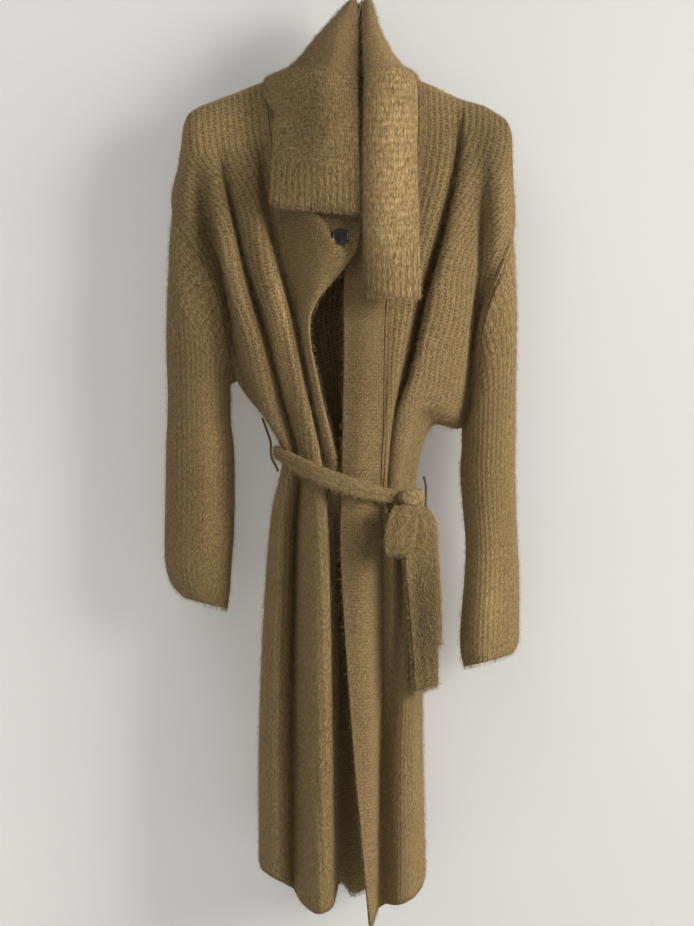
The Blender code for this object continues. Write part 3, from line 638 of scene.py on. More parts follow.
right_grid, right_facing = filled(right_rows, beyond(right_rows, back_rows))
left_grid, left_facing = filled(left_rows, beyond(left_rows, back_rows[:, ::-1]))
back_grid, back_facing = filled(
    back_rows, beyond(back_rows, right_rows), beyond(back_rows[:, ::-1], left_rows)
)
RIGHT_SEAM = (len(RIGHT_FRONT) - 1) * DENSE
LEFT_SEAM = (len(LEFT_FRONT) - 1) * DENSE


def one_shoulder(right, left, back):
    """Puts both fronts' and the back's top rows on one line, from the tip to the neck."""
    right[:, 1] = 0
    left[:, 1] = 0
    line = np.concatenate([right, left[::-1]])
    outer = (back[:, 0] < right[-1, 0] + 1) | (back[:, 0] > left[-1, 0] - 1)
    back[outer, 2] = np.interp(back[outer, 0], line[:, 0], line[:, 2])


one_shoulder(right_grid[0, : RIGHT_SEAM + 1], left_grid[0, : LEFT_SEAM + 1], back_grid[0])
print("body net:", right_grid.shape, left_grid.shape, back_grid.shape)

# %% [markdown]
# ## Ribs, soft creases and the wall
# A half-cardigan rib stands up in cords about 8 mm apart. The cords run with the cloth, so they
# are worked out from the distance across the cloth laid flat, and they crowd where it gathers.
# They are real relief, six points to a rib, and the finer stitches are left to the material.
# A piece is then closed: one face outwards, one inwards, and a rounded rim between them.

# %% Sizes of the knit
RIB = 8.4
POINTS_PER_RIB = 6
RIB_HEIGHT = 0.3
CLOTH = 2.4
EDGE_ROUND = 0.9
SEAM_ROUND = 0.35


# %% Relief on the flat cloth
def ribs(across):
    """Rounded cords: a cosine across the cloth whose crests are broader than its grooves."""
    wave = np.cos(2 * math.pi * across / RIB)
    return RIB_HEIGHT * (wave - 0.35 * wave**2)


def creases(across, down, rows):
    """Soft troughs and ridges: a bell across each line, fading at both of its ends.

    A row says where the line starts and ends (across, down), its half width and its height.
    """
    lift = np.zeros(np.broadcast(across, down).shape)
    for x0, y0, x1, y1, width, height in rows:
        run = np.array((x1 - x0, y1 - y0), float)
        size = np.hypot(*run)
        along = ((across - x0) * run[0] + (down - y0) * run[1]) / size**2
        aside = ((across - x0) * run[1] - (down - y0) * run[0]) / size
        fade = np.clip(np.minimum(along, 1 - along) * 3.2, 0, 1)
        lift += height * np.exp(-((aside / width) ** 2)) * fade**2 * (3 - 2 * fade)
    return lift


def gathers(across, down, at, reach, pitch, height):
    """Small pleats that spread from a tie: a wave across the cloth that dies away from a row."""
    sway = 0.9 * np.sin(across / 37.0) + 0.6 * np.sin(across / 23.0 + 1.3)
    near = np.exp(-(((down - at) / reach) ** 2))
    return height * near * np.cos(2 * math.pi * across / pitch + sway)


# %% [markdown]
# Light and shade are painted into the knit's colour at a few soft spots: lighter where the cloth
# faces the light, darker where it lies in shade. Each is a bell round a place, listed one by one,
# and the material reads it.

# %% Spots of painted light and shade on the front
# Spots of painted light and shade. Across, up, half width, half height, and how much lighter.
PAINTED_LIGHT_SPOTS = (
    (-54, -200, 40, 85, -0.48),
    (44, -270, 26, 130, 0.60),
    (-150, -205, 45, 42, 0.75),
    (165, -225, 45, 50, -0.36),
    (-193, -335, 16, 50, -0.40),
    (-94, -475, 15, 90, 0.85),
    (-176, -620, 15, 140, 1.0),
    (164, -800, 20, 90, 0.90),
    (10, -265, 60, 200, 0.12),
    (14, -500, 26, 110, -0.32),
    (10, -745, 26, 45, -0.30),
    (88, -824, 22, 100, -0.70),
    (-32, -325, 28, 26, -0.40),
)


def painted_light_shade(points):
    """How much lighter the knit is painted at each point of the front, as painted light and shade: a bell
    round each place.
    """
    tone = np.zeros(points.shape[:-1])
    for across, up, wide, high, much in PAINTED_LIGHT_SPOTS:
        far = ((points[..., 0] - across) / wide) ** 2 + ((points[..., 2] - up) / high) ** 2
        tone += much * np.exp(-far)
    return tone * (points[..., 1] < 0)


# %% One mesh from whole arrays
def values_of(items, key, size=1, kind=float):
    """One named value of every item of a mesh, such as each point's place, as an array."""
    found = np.empty(len(items) * size, kind)
    items.foreach_get(key, found)
    return found.reshape(-1, size) if size > 1 else found


def mesh_object(name, points, faces, look, flat=None):
    """A mesh from points in millimetres and faces. flat gives each point's place on the cloth."""
    data = bpy.data.meshes.new(name)
    data.from_pydata((points * MM).tolist(), [], faces)
    data.materials.append(look)
    data.polygons.foreach_set("use_smooth", np.ones(len(data.polygons), bool))
    if flat is not None:
        corner = values_of(data.loops, "vertex_index", kind=np.int32)
        layer = data.uv_layers.new(name="cloth")
        layer.data.foreach_set("uv", flat[corner].astype(np.float32).ravel())
    data.update()
    thing = bpy.data.objects.new(name, data)
    scene.collection.objects.link(thing)
    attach(thing, "root")
    return thing


def rim_edges(kept):
    """The directed edges round the kept cells of a grid, each with its cell on the same hand."""
    rows, columns = kept.shape
    full = np.pad(kept, 1)
    node = np.arange((rows + 1) * (columns + 1)).reshape(rows + 1, columns + 1)
    before, after = full[1:-1, :-1], full[1:-1, 1:]
    above, below = full[:-1, 1:-1], full[1:, 1:-1]
    pairs = (
        (node[:-1], node[1:], after & ~before),
        (node[1:], node[:-1], before & ~after),
        (node[:, 1:], node[:, :-1], below & ~above),
        (node[:, :-1], node[:, 1:], above & ~below),
    )
    return np.concatenate([np.stack([a[test], b[test]], -1) for a, b, test in pairs])


def cloth_wall(
    name, grid, out, look, lift, across, down, kept=None, thick=CLOTH, turn=1, rounds=EDGE_ROUND, **marks
):
    """A grid of points closed to a wall of cloth.

    Each point is moved along its unit normal out by half the thickness and by lift, and again
    the other way. Round the edge a third line of points, pushed out sideways, rounds the rim.
    turn is -1 where the grid's columns run so that its faces would look inwards. across and down
    say where the points lie on the flat cloth, rounds how far the rim is pushed out, and each
    mark is a number for every point that the material reads by its name.
    """
    rows, columns = grid.shape[:2]
    kept = np.ones((rows - 1, columns - 1), bool) if kept is None else kept
    rounds = np.broadcast_to(rounds, (rows, columns)).reshape(-1, 1)
    lift = np.broadcast_to(lift, (rows, columns))[..., None]
    middle = (grid + out * lift).reshape(-1, 3)
    out = out.reshape(-1, 3)
    flat = np.stack(np.broadcast_arrays(across, down), -1).reshape(-1, 2) * MM
    node = np.arange(rows * columns).reshape(rows, columns)
    cells = np.stack([node[:-1, :-1], node[1:, :-1], node[1:, 1:], node[:-1, 1:]], -1)[kept]
    edges = rim_edges(kept)
    side = np.zeros_like(middle)
    push = unit(np.cross(middle[edges[:, 1]] - middle[edges[:, 0]], out[edges[:, 0]])) * -turn
    np.add.at(side, edges[:, 0], push)
    np.add.at(side, edges[:, 1], push)
    rim = np.unique(edges)
    count = len(middle)
    third = np.full(count, -1)
    third[rim] = 2 * count + np.arange(len(rim))
    points = np.concatenate(
        [middle + out * thick / 2, middle - out * thick / 2, middle[rim] + unit(side[rim]) * rounds[rim]]
    )
    a, b = edges.T
    faces = [
        cells,
        cells[:, ::-1] + count,
        np.stack([b, a, third[a], third[b]], -1),
        np.stack([third[b], third[a], a + count, b + count], -1),
    ]
    faces = np.concatenate(faces)[:, ::turn]
    used = np.unique(faces)
    slot = np.full(len(points), -1)
    slot[used] = np.arange(len(used))
    flat = np.concatenate([flat, flat, flat[rim]])
    made = mesh_object(name, points[used], slot[faces].tolist(), look, flat[used])
    # Each piece carries the front's spots of painted light and shade as a mark, besides its own marks.
    for key, mark in {"painted_light_shade": painted_light_shade(grid), **marks}.items():
        mark = np.broadcast_to(mark, (rows, columns)).ravel()
        mark = np.concatenate([mark, mark, mark[rim]])[used]
        made.data.attributes.new(key, "FLOAT", "POINT").data.foreach_set("value", mark)
    return made


def measured(thing, sizes=""):
    """Prints a piece's triangles, and the volume inside it: above 0 if its faces point out."""
    data = thing.data
    data.calc_loop_triangles()
    points = values_of(data.vertices, "co", 3) / MM / 10
    corner = values_of(data.loop_triangles, "vertices", 3, np.int32)
    a, b, c = points[corner].swapaxes(0, 1)
    inside = np.einsum("ij,ij->", a, np.cross(b, c)) / 6
    print(f"{thing.name}: {sizes}{len(corner)} triangles, {inside:.1f} cm3")


# %% [markdown]
# ## Brushed camel knit
# The yarn is a wool and mohair blend, knitted in a half-cardigan rib and then brushed. Three
# things make it read as that: dark little gaps between the stitches that run in columns along
# the grooves, a soft haze of short hairs that lie mostly along the cloth, and a sheen that
# lightens it where the light grazes. The gaps and the haze are patterns in millimetres on the
# cloth's own flat map, so they follow every fold.

# %% Colours and sizes of the yarn
YARN_LIGHT = "#d6ba8a"
YARN_MID = "#9a8054"
YARN_DARK = "#463214"
STITCH_ROW = 4.3
GARTER_ROW = 3.9
BORDER_RIB = 6.2
# Brushed strands: their lean in radians, width, length, and where their pattern starts.
STRANDS = ((0.06, 1.6, 7.5, 3.0), (0.5, 1.4, 5.5, 11.0), (-0.42, 1.2, 5.0, 23.0))


# %% The knit as a material
def brushed_knit(name, cord=1.0, ridge=0.0, haze=1.0, wale=RIB, strand=1.0):
    """Wool and mohair knit: very rough, with a soft sheen.

    cord is how strong the gaps between the stitches of its ribs are, ridge how strong the ridges
    across it, and haze how much the brushed hairs show. wale is the ribs' spacing and strand
    the hairs' length. The point attributes steer it: "stitch" says where the gaps show, where
    "border" is 1 the ridges give way to fine ribs, and two more marks hold painted light and
    shade: soft spots painted lighter or darker, and painted shade in narrow creases.
    """
    surface = {
        "Roughness": 0.92,
        "Specular IOR Level": 0.2,
        "Sheen Weight": 0.22,
        "Sheen Roughness": 0.5,
        "Sheen Tint": linear("#e2c894"),
    }
    made, tree, wool = new_finish(name, surface)

    # Millimetres on the flat cloth, drawn a little out of true.
    flat = add(tree, "UVMap", uv_map="cloth")
    in_mm = add(tree, "VectorMath", flat, operation="SCALE", Scale=1 / MM)
    drift = add(tree, "TexNoise", Vector=in_mm, Scale=0.16, Detail=2.0).outputs["Color"]
    drift = add(tree, "VectorMath", drift, (0.5, 0.5, 0.5), operation="SUBTRACT")
    drift = add(tree, "VectorMath", drift, operation="SCALE", Scale=2.0)
    loose = add(tree, "VectorMath", in_mm, drift, operation="ADD")
    place = add(tree, "SeparateXYZ", loose)
    u, v = place.outputs["X"], place.outputs["Y"]

    # Four waves from 0 to 1: ribs, stitches that step half a row from rib to rib, ridges across
    # the cloth, and the border's fine ribs.
    rib = add(tree, "Math", u, wale, operation="DIVIDE")
    rib = add(tree, "Math", rib, operation="FLOOR")
    row = add(tree, "Math", rib, STITCH_ROW / 2, v, operation="MULTIPLY_ADD")
    waves = []
    for along, pitch in ((u, wale), (row, STITCH_ROW), (v, GARTER_ROW), (u, BORDER_RIB)):
        turn = add(tree, "Math", along, 2 * math.pi / pitch, operation="MULTIPLY")
        wave = add(tree, "Math", turn, operation="COSINE")
        waves.append(add(tree, "Math", wave, 0.5, 0.5, operation="MULTIPLY_ADD"))
    crest, stitch, garter, fine = waves

    # Dark gaps between the stitches, deep in the grooves between ribs.
    groove = add(tree, "Math", 1.0, crest, operation="SUBTRACT")
    groove = add(tree, "Math", groove, 2.2, operation="POWER")
    shown = add(tree, "Attribute", attribute_name="stitch").outputs["Fac"]
    shown = add(tree, "Math", shown, cord, operation="MULTIPLY")
    gap = add(tree, "Math", stitch, 1.2, operation="POWER")
    gap = add(tree, "Math", gap, groove, operation="MULTIPLY")
    gap = add(tree, "Math", gap, shown, operation="MULTIPLY")

    # Furrows between the ridges, twice as strong on a border.
    border = add(tree, "Attribute", attribute_name="border").outputs["Fac"]
    lines = add(tree, "Mix", data_type="FLOAT", Factor=border, A=garter, B=fine)
    furrow = add(tree, "Math", 1.0, lines, operation="SUBTRACT")
    furrow = add(tree, "Math", furrow, 1.6, operation="POWER")
    strong = add(tree, "Math", border, ridge, ridge, operation="MULTIPLY_ADD")
    furrow = add(tree, "Math", furrow, strong, operation="MULTIPLY")

    # Brushed hairs: long thin noise, leaning three ways. Its peaks are lit hairs, its pits gaps.
    strands = []
    for angle, wide, long, start in STRANDS:
        scale = (1 / wide, 1 / (long * strand), 1)
        bent = add(tree, "Mapping", loose, (start, start, 0), (0, 0, angle), scale)
        strands.append(add(tree, "TexNoise", Vector=bent, Scale=1.0, Detail=3.0, Roughness=0.7))
    shares = []
    for choice, low, high in (("MAXIMUM", 0.54, 0.72), ("MINIMUM", 0.45, 0.30)):
        most = add(tree, "Math", strands[0], strands[1], operation=choice)
        most = add(tree, "Math", most, strands[2], operation=choice)
        share = add(tree, "MapRange", most, low, high)
        shares.append(add(tree, "Math", share, 0.8 * haze, operation="MULTIPLY"))
    light, dark = shares

    body = linear(YARN_MID)
    for mask, share, colour in (
        (light, 1.0, YARN_LIGHT),
        (dark, 1.0, YARN_DARK),
        (gap, 0.62, YARN_DARK),
        (furrow, 0.4, YARN_DARK),
    ):
        mask = add(tree, "Math", mask, share, operation="MULTIPLY")
        body = add(tree, "Mix", data_type="RGBA", Factor=mask, A=body, B=linear(colour))
    patch = add(tree, "TexNoise", Vector=in_mm, Scale=0.022, Detail=2.0)
    tone = add(tree, "Math", patch, 0.22, 0.97, operation="MULTIPLY_ADD")
    # Painted light and shade: the soft spots lighten or darken the colour, and narrow creases get painted
    # shade.
    for mark, share in (("painted_light_shade", 1.0), ("crease_shade", -0.42)):
        painted_tone = add(tree, "Attribute", attribute_name=mark).outputs["Fac"]
        painted_tone = add(tree, "Math", painted_tone, share, 1.0, operation="MULTIPLY_ADD")
        tone = add(tree, "Math", tone, painted_tone, operation="MULTIPLY")
    body = add(tree, "VectorMath", body, operation="SCALE", Scale=tone)
    join(tree, body, wool.inputs["Base Color"])

    cords = add(tree, "Math", crest, shown, operation="MULTIPLY")
    height = 0.0
    for mask, share in ((furrow, -0.5), (gap, -0.6), (cords, 0.3), (light, 0.7), (dark, -0.6)):
        height = add(tree, "Math", mask, share, height, operation="MULTIPLY_ADD")
    bump = add(tree, "Bump", Height=height, Distance=0.0022, Strength=1.0)
    join(tree, bump, wool.inputs["Normal"])
    return made


# %% The knits of this cardigan
knit_body = brushed_knit("brushed half-cardigan rib", strand=0.8)
knit_sleeve = brushed_knit("brushed half-cardigan rib, sleeves", cord=0.7, haze=1.1, strand=0.7)
knit_band = brushed_knit("brushed garter band", cord=0.0, ridge=0.5, haze=0.95, strand=0.6)
knit_collar = brushed_knit("brushed garter collar", cord=0.0, ridge=0.45, haze=1.0, strand=0.85)
knit_belt = brushed_knit("brushed knitted belt", cord=0.0, ridge=0.25, haze=1.0, wale=6.0)


# %% Loose hairs, button, hanger and hook
def cloudy(name, low, high, scale, detail, surface, stretch=(1, 1, 1)):
    """A material of two close colours in a cloud of noise: also its tree, surface and cloud."""
    made, tree, surface = new_finish(name, surface)
    where = add(tree, "TexCoord").outputs["Object"]
    drawn = add(tree, "Mapping", Vector=where, Scale=stretch)
    cloud = add(tree, "TexNoise", Vector=drawn, Scale=scale, Detail=detail)
    tone = add(tree, "Mix", data_type="RGBA", Factor=cloud, A=linear(low), B=linear(high))
    join(tree, tone, surface.inputs["Base Color"])
    return made, tree, surface, cloud


def polished(name, low, high, scale, roughness, metallic=0.0, stretch=(1, 1, 1)):
    """A hard finish: a cloud of two colours, with a roughness and a low bump that match it."""
    made, tree, finish, cloud = cloudy(name, low, high, scale, 5.0, {"Metallic": metallic}, stretch)
    rough = add(tree, "MapRange", cloud, 0.3, 0.7, roughness - 0.05, roughness + 0.08)
    join(tree, rough, finish.inputs["Roughness"])
    bump = add(tree, "Bump", Height=cloud, Distance=0.0002, Strength=0.4)
    join(tree, bump, finish.inputs["Normal"])
    return made


# Single mohair hairs: paler than the knit, because light passes through them.
fibre = {"Roughness": 0.8, "Specular IOR Level": 0.2, "Sheen Weight": 0.2}
mohair = cloudy("loose mohair", "#8f7344", "#d3b685", 160.0, 1.0, fibre)[0]
# Polyester resin cast as horn: near black with a brown cloud in it, polished.
horn = polished("polished dark resin", "#0d0c0d", "#1d1815", 140.0, 0.32)
# Beech, turned and lacquered: long grain along the bar.
beech = polished("lacquered beech", "#b98a58", "#9a6c3e", 90.0, 0.42, stretch=(0.12, 1, 1))
# Nickel-plated steel wire: bright, with faint drawing marks.
nickel = polished("nickel-plated steel", "#c9c8c4", "#b4b2ad", 300.0, 0.22, metallic=1.0)

# %% [markdown]
# ## Body pieces
# Each piece is taken from the dense net between its seams, and its columns are laid out again
# so that whole ribs fit across it. The seams then fall where the nets were cut, so neighbours
# meet in one line. The small creases are drawn on the flat cloth, where folds pull from
# the shoulder to the belt and where the belt crowds the knit.


# %% Even columns
def even(grid, out, pitch, stops=(0, -1)):
    """The grid with its columns laid out evenly between the stops, at about the given pitch."""
    far = lengths(grid, 1)
    stops = [stop % grid.shape[1] for stop in stops]
    places = [np.array([stops[0]], float)]
    marks = [0]
    for one, two in zip(stops, stops[1:]):
        count = max(2, round((far[two] - far[one]) / pitch))
        spots = np.linspace(far[one], far[two], count + 1)[1:]
        places.append(np.interp(spots, far[one : two + 1], np.arange(one, two + 1)))
        marks.append(marks[-1] + count)
    places = np.concatenate(places)
    across = np.interp(places, np.arange(grid.shape[1]), far)
    return picked(grid, places), unit(picked(out, places)), across - across[0], marks


def drawn_in(grid, edges):
    """The grid with the named edges moved in, so that rounded rims just meet."""
    grid = grid.copy()
    for edge in edges:
        side = {"top": grid, "bottom": grid[::-1]}.get(edge)
        if side is None:
            side = grid.swapaxes(0, 1) if edge == "first" else grid.swapaxes(0, 1)[::-1]
        side[0] += unit(side[1] - side[0]) * SEAM_ROUND
    return grid


def seam_dip(across, down, edges, reach=5.0):
    """From 0 on the named edges to 1 a few millimetres in: ribs flatten towards a seam."""
    near = {
        "first": across - across.min(),
        "last": across.max() - across,
        "top": down - down.min(),
        "bottom": down.max() - down,
    }
    fade = np.ones(np.broadcast(across, down).shape)
    for edge in edges:
        share = np.clip(near[edge] / reach, 0, 1)
        fade = fade * share * (2 - share)
    return fade


# %% Where the ribs run
def rib_map(grid, start, arm_row):
    """Each point's place on the flat cloth: how far from the start column, and how far down.

    Down to the armhole the ribs keep their spacing, so they end one by one at its edge. Below
    it the cloth is gathered: every row holds the same ribs, and they crowd where it is narrow.
    """
    steps = np.linalg.norm(np.diff(grid, axis=1), axis=-1)
    far = np.pad(np.cumsum(steps, 1), ((0, 0), (1, 0)))
    wide = far[:, -1:]
    share = wide[arm_row] / wide
    share[: arm_row + 1 if arm_row >= 0 else None] = 1
    return (far - far[:, start][:, None]) * share, grid[..., 2].max() - grid[..., 2]


def brushed_out(grid):
    """How much the stitches still show: fully at the chest, and little below the belt."""
    return np.interp(grid[..., 2], (-720, -480), (0.12, 1.0))


def soft_rims(shape, edges):
    """How far a rim is pushed out: less on a sewn edge, so that neighbours lie close."""
    rounds = np.full(shape, EDGE_ROUND)
    sides = {"top": rounds[0], "bottom": rounds[-1], "first": rounds[:, 0], "last": rounds[:, -1]}
    for edge in edges:
        sides[edge][:] = SEAM_ROUND
    return rounds


# %% Fronts and back
coat = {}
LAPEL_WIDE = 60
LAPEL_DROP = 3.5
LAPEL_HIGH = 8.0


def lapel(grid):
    """The right band folds back below the button: a ridge that falls to the front edge.

    Below and left of the line the cloth rises towards it, and beyond it drops at once.
    """
    top, tip = np.array((-66.0, -294.0)), np.array((-20.0, -362.0))
    run = tip - top
    long = np.hypot(*run)
    x, z = grid[..., 0] - top[0], grid[..., 2] - top[1]
    along = (x * run[0] + z * run[1]) / long**2
    beyond = (z * run[0] - x * run[1]) / long
    rise = np.clip(1 + beyond / LAPEL_WIDE, 0, 1) ** 2 * np.clip(1 - beyond / LAPEL_DROP, 0, 1)
    return LAPEL_HIGH * rise * np.clip((1.25 - along) / 0.25, 0, 1)


def body_piece(
    name, panel, seams, look, ribs_from="first", arm_row=-1, rows=(), tie=None, cord=1.0, more=None
):
    """A panel of the body: even columns, then ribs, drawn creases and gathers as relief."""
    grid, facing, turn = panel
    grid, out, across, _ = even(grid, facing, RIB / POINTS_PER_RIB)
    grid = drawn_in(grid, seams)
    down = lengths(grid, 0)
    x, y = across[None, :], down[:, None]
    start = {"first": 0, "middle": grid.shape[1] // 2, "last": -1}[ribs_from]
    u, v = rib_map(grid, start, arm_row)
    lift = ribs(u) * seam_dip(x, y, seams, 10.0) * cord + creases(x, y, rows)
    if more is not None:
        lift = lift + more(grid)
    if tie is not None:
        lift = lift + gathers(x, y, *tie)
    rims = soft_rims(grid.shape[:2], seams)
    stitch = seam_dip(x, y, seams, 16.0) * brushed_out(grid)
    made = cloth_wall(name, grid, out, look, lift, u, v, turn=turn, rounds=rims, stitch=stitch)
    coat[name] = (grid + out * (lift + CLOTH / 2)[..., None], out)
    measured(made, f"{across[-1]:.0f} x {down[-1]:.0f} mm, ")


BELT_DOWN = 475
BAND_FROM = FIRST_ROWS // 2

# Start and end on the flat cloth (across, down), half width and height.
RIGHT_CREASES = (
    (20, 60, 60, 330, 9, -2.2),
    (70, 40, 95, 300, 11, 1.8),
    (104, 90, 128, 360, 7, -2.0),
    (60, 560, 52, 980, 12, -1.8),
    (128, 540, 124, 900, 10, 1.6),
)
LEFT_CREASES = (
    (30, 80, 52, 360, 10, -2.0),
    (84, 60, 96, 330, 9, 2.0),
    (130, 120, 118, 420, 8, -2.0),
    (60, 600, 66, 980, 12, 1.8),
)
BACK_CREASES = (
    (60, 80, 120, 420, 12, -2.4),
    (110, 60, 150, 400, 13, 2.2),
    (230, 60, 200, 400, 13, 2.2),
    (290, 80, 230, 420, 12, -2.4),
    (80, 560, 70, 960, 12, -2.2),
    (210, 560, 220, 980, 12, -2.2),
)

# A panel's three sewn edges. Each cloth is its points, its outward normals and its turn.
SEWN = ("top", "first", "last")
right_cloth = (right_grid, right_facing, 1)
left_cloth = (left_grid, -left_facing, -1)
back_cloth = (back_grid, -back_facing, -1)
for name, (grid, out, turn), stop, ribs_from, rows, tie in (
    ("front_right_knit", right_cloth, RIGHT_SEAM + 1, "last", RIGHT_CREASES, (BELT_DOWN, 46, 24, 1.5)),
    ("front_left_knit", left_cloth, LEFT_SEAM + 1, "last", LEFT_CREASES, (BELT_DOWN + 20, 46, 22, 1.5)),
    ("back_knit", back_cloth, None, "middle", BACK_CREASES, (BELT_DOWN, 60, 26, 2.0)),
):
    panel = (grid[:, :stop], out[:, :stop], turn)
    body_piece(name, panel, SEWN, knit_body, ribs_from, ARM_TOP, rows, tie)
for name, (grid, out, turn), seam, more in (
    ("band_right_knit", right_cloth, RIGHT_SEAM, lapel),
    ("band_left_knit", left_cloth, LEFT_SEAM, None),
):
    panel = (grid[BAND_FROM:, seam:], out[BAND_FROM:, seam:], turn)
    body_piece(name, panel, ("first",), knit_band, cord=0.15, more=more)

# %% [markdown]
# ## Sleeves
# A dropped sleeve is a tube sewn into the loop where front and back part. Its first ring is
# that loop, and the rest are ovals from a short table, so the tube leaves the body without a
# step. It is closed along the underarm, where a real one has its seam.

# %% Sleeves
SLEEVE_ROWS = (9, 7, 7, 7, 9, 9, 6, 5, 4)
SLEEVE_GAP = 0.7
SLEEVE_CORD = 0.8
RIGHT_SLEEVE_CREASES = (
    (60, 30, 80, 130, 9, -2.6),
    (150, 20, 120, 120, 9, -2.2),
    (90, 150, 130, 260, 11, 1.8),
    (60, 240, 100, 330, 10, -1.6),
)
LEFT_SLEEVE_CREASES = (
    (70, 20, 86, 150, 9, -2.4),
    (150, 30, 128, 150, 8, -2.2),
    (112, 140, 100, 300, 12, -2.2),
    (60, 200, 70, 320, 10, 1.8),
)


def sleeve(name, front_edge, back_edge, front_out, back_out, sections, rows):
    """A tube from the armhole loop through oval sections, opened along the underarm."""
    down, up = slice(ARM_TOP, UNDERARM + 1), slice(UNDERARM - 1, ARM_TOP, -1)
    loop = np.concatenate([front_edge[down], back_edge[up]])
    start = np.concatenate([front_out[down], back_out[up]])
    count = len(loop)
    turn = np.linspace(0, 2 * math.pi, count, endpoint=False)
    outward = -1 if loop[0, 0] < 0 else 1
    rings = [loop]
    for height, tilt, middle, half_width, half_depth in sections:
        across = middle + outward * half_width * np.cos(turn)
        ring = (across, -half_depth * np.sin(turn), height + tilt * np.cos(turn))
        rings.append(np.stack(ring, -1))
    tube = smooth(rings, SLEEVE_ROWS)
    tube[0] += unit(tube[1] - tube[0]) * SLEEVE_GAP
    tube = np.concatenate([tube[:, -1:], tube, tube[:, :2]], axis=1)
    out = normals(tube)
    out *= np.sign((out * (tube - tube.mean(1, keepdims=True))).sum((1, 2)))[:, None, None]
    tube, out = tube[:, 1:-1], out[:, 1:-1]
    start = np.concatenate([start, start[:1]])
    out[0] = unit(start * np.sign((out[1] * start).sum(-1, keepdims=True)) + out[1] * 0.5)
    half = count // 2
    tube = np.concatenate([tube[:, half:-1], tube[:, : half + 1]], axis=1)
    out = np.concatenate([out[:, half:-1], out[:, : half + 1]], axis=1)
    tube, out, across, _ = even(tube, out, RIB / POINTS_PER_RIB)
    tube = drawn_in(tube, ("first", "last"))
    down = lengths(tube, 0)
    x, y = across[None, :], down[:, None]
    lift = ribs(x) * seam_dip(x, y, SEWN) * SLEEVE_CORD + creases(x, y, rows)
    rims = soft_rims(tube.shape[:2], SEWN)
    stitch = brushed_out(tube)
    made = cloth_wall(name, tube, out, knit_sleeve, lift, x, y, turn=-outward, rounds=rims, stitch=stitch)
    coat[name] = (tube + out * (lift + CLOTH / 2)[..., None], out)
    measured(made, f"{across[-1]:.0f} mm round, {down[-1]:.0f} mm long, ")


for name, (grid, out, _), side, sections, rows in (
    ("sleeve_right_knit", right_cloth, 0, RIGHT_SLEEVE, RIGHT_SLEEVE_CREASES),
    ("sleeve_left_knit", left_cloth, -1, LEFT_SLEEVE, LEFT_SLEEVE_CREASES),
):
    sleeve(name, grid[:, 0], back_grid[:, side], out[:, 0], -back_facing[:, side], sections, rows)

# %% [markdown]
# ## Collar
# The collar is one long strip. Its middle stands like a tent over the hook, because the neck is
# wider than the hanger, and both ends hang free down the front: a flat one, and a rolled one
# that lies in front of it. The grid goes round the neck, and its cells below the neck seam are
# left out wherever the strip is sewn on.

# %% Collar
COLLAR_HOLLOW = (0.56, 0.66, 0.74)
COLLAR_ROWS = (12, 9, 5, 18, 26)
COLLAR_PITCH = 2.4
COLLAR_THICK = 3.0
COLLAR_CREASES = ((30, 40, 40, 200, 12, 1.4), (80, 60, 86, 220, 10, -1.4))
BORDER_LONG = 56.0
BORDER_HIGH = 0.35
SEWN_UNDER = 12
SEWN_DROP = (5, 10)


def border_share(grid):
    """1 on the ribbed border at the ends, and 0 above it, from the distance to the end."""
    steps = np.linalg.norm(np.diff(grid, axis=0), axis=-1)
    left = np.concatenate([np.cumsum(steps[::-1], 0)[::-1], np.zeros_like(steps[:1])])
    return np.clip((BORDER_LONG - left) / 6 + 0.5, 0, 1)


def collar():
    """The lines of the table, filled down and across, with the sewn part cut off at the neck."""
    lines = [[*line, *([line[-1]] * (5 - len(line)))] for line in COLLAR.values()]
    net = (np.array(lines, float) * (1, -1, 1)).swapaxes(0, 1)
    sewn = np.array([len(line) == 3 for line in COLLAR.values()])
    net[3:, sewn, 2] -= np.array(SEWN_DROP)[:, None]
    net = np.insert(net, 2, net[1] + (net[2] - net[1]) * COLLAR_HOLLOW, axis=0)
    dense = smooth(net, COLLAR_ROWS).swapaxes(0, 1)
    dense = smooth(dense, (DENSE,) * (len(lines) - 1)).swapaxes(0, 1)
    first, last = np.flatnonzero(sewn)[[0, -1]]
    stops = (0, (first - 1) * DENSE, (last + 1) * DENSE, dense.shape[1] - 1)
    grid, out, across, marks = even(dense, -normals(dense), COLLAR_PITCH, stops)
    down = lengths(grid, 0)
    kept = np.ones((grid.shape[0] - 1, grid.shape[1] - 1), bool)
    kept[sum(COLLAR_ROWS[:3]) + SEWN_UNDER :, marks[1] : marks[2]] = False
    x, y = across[None, :], down[:, None]
    border = border_share(grid)
    lift = BORDER_HIGH * np.cos(2 * math.pi * x / BORDER_RIB) * border + creases(x, y, COLLAR_CREASES)
    made = cloth_wall("collar_knit", grid, out, knit_collar, lift, x, y, kept, COLLAR_THICK, border=border)
    coat["collar_knit"] = (grid + out * (lift + COLLAR_THICK / 2)[..., None], out, kept)
    measured(made, f"{across[-1]:.0f} x {down[-1]:.0f} mm, ")


collar()

# %% [markdown]
# ## Belt, knot, bow and tails
# The belt is a knitted tube that has gone flat. Round the waist it is an oval roll carried along
# a closed path that lies against the cloth. The tails are flat straps: a line of middles with a
# half width each, cut on the slant at the end, and the bow is such a strap folded up on itself.

# %% Sizes of the belt
BELT_START = (-101, -613)
BELT_FALL = 0.60
BELT_EASE = 0.0015
BELT_HALF_HEIGHT = 11.6
BELT_PINCH = ((-104, 24, 0.45), (62, 24, 0.22))
BELT_HALF_DEPTH = 4.8
BELT_CLEAR = 2.2
BELT_ROUND = 60
SECTION = 28


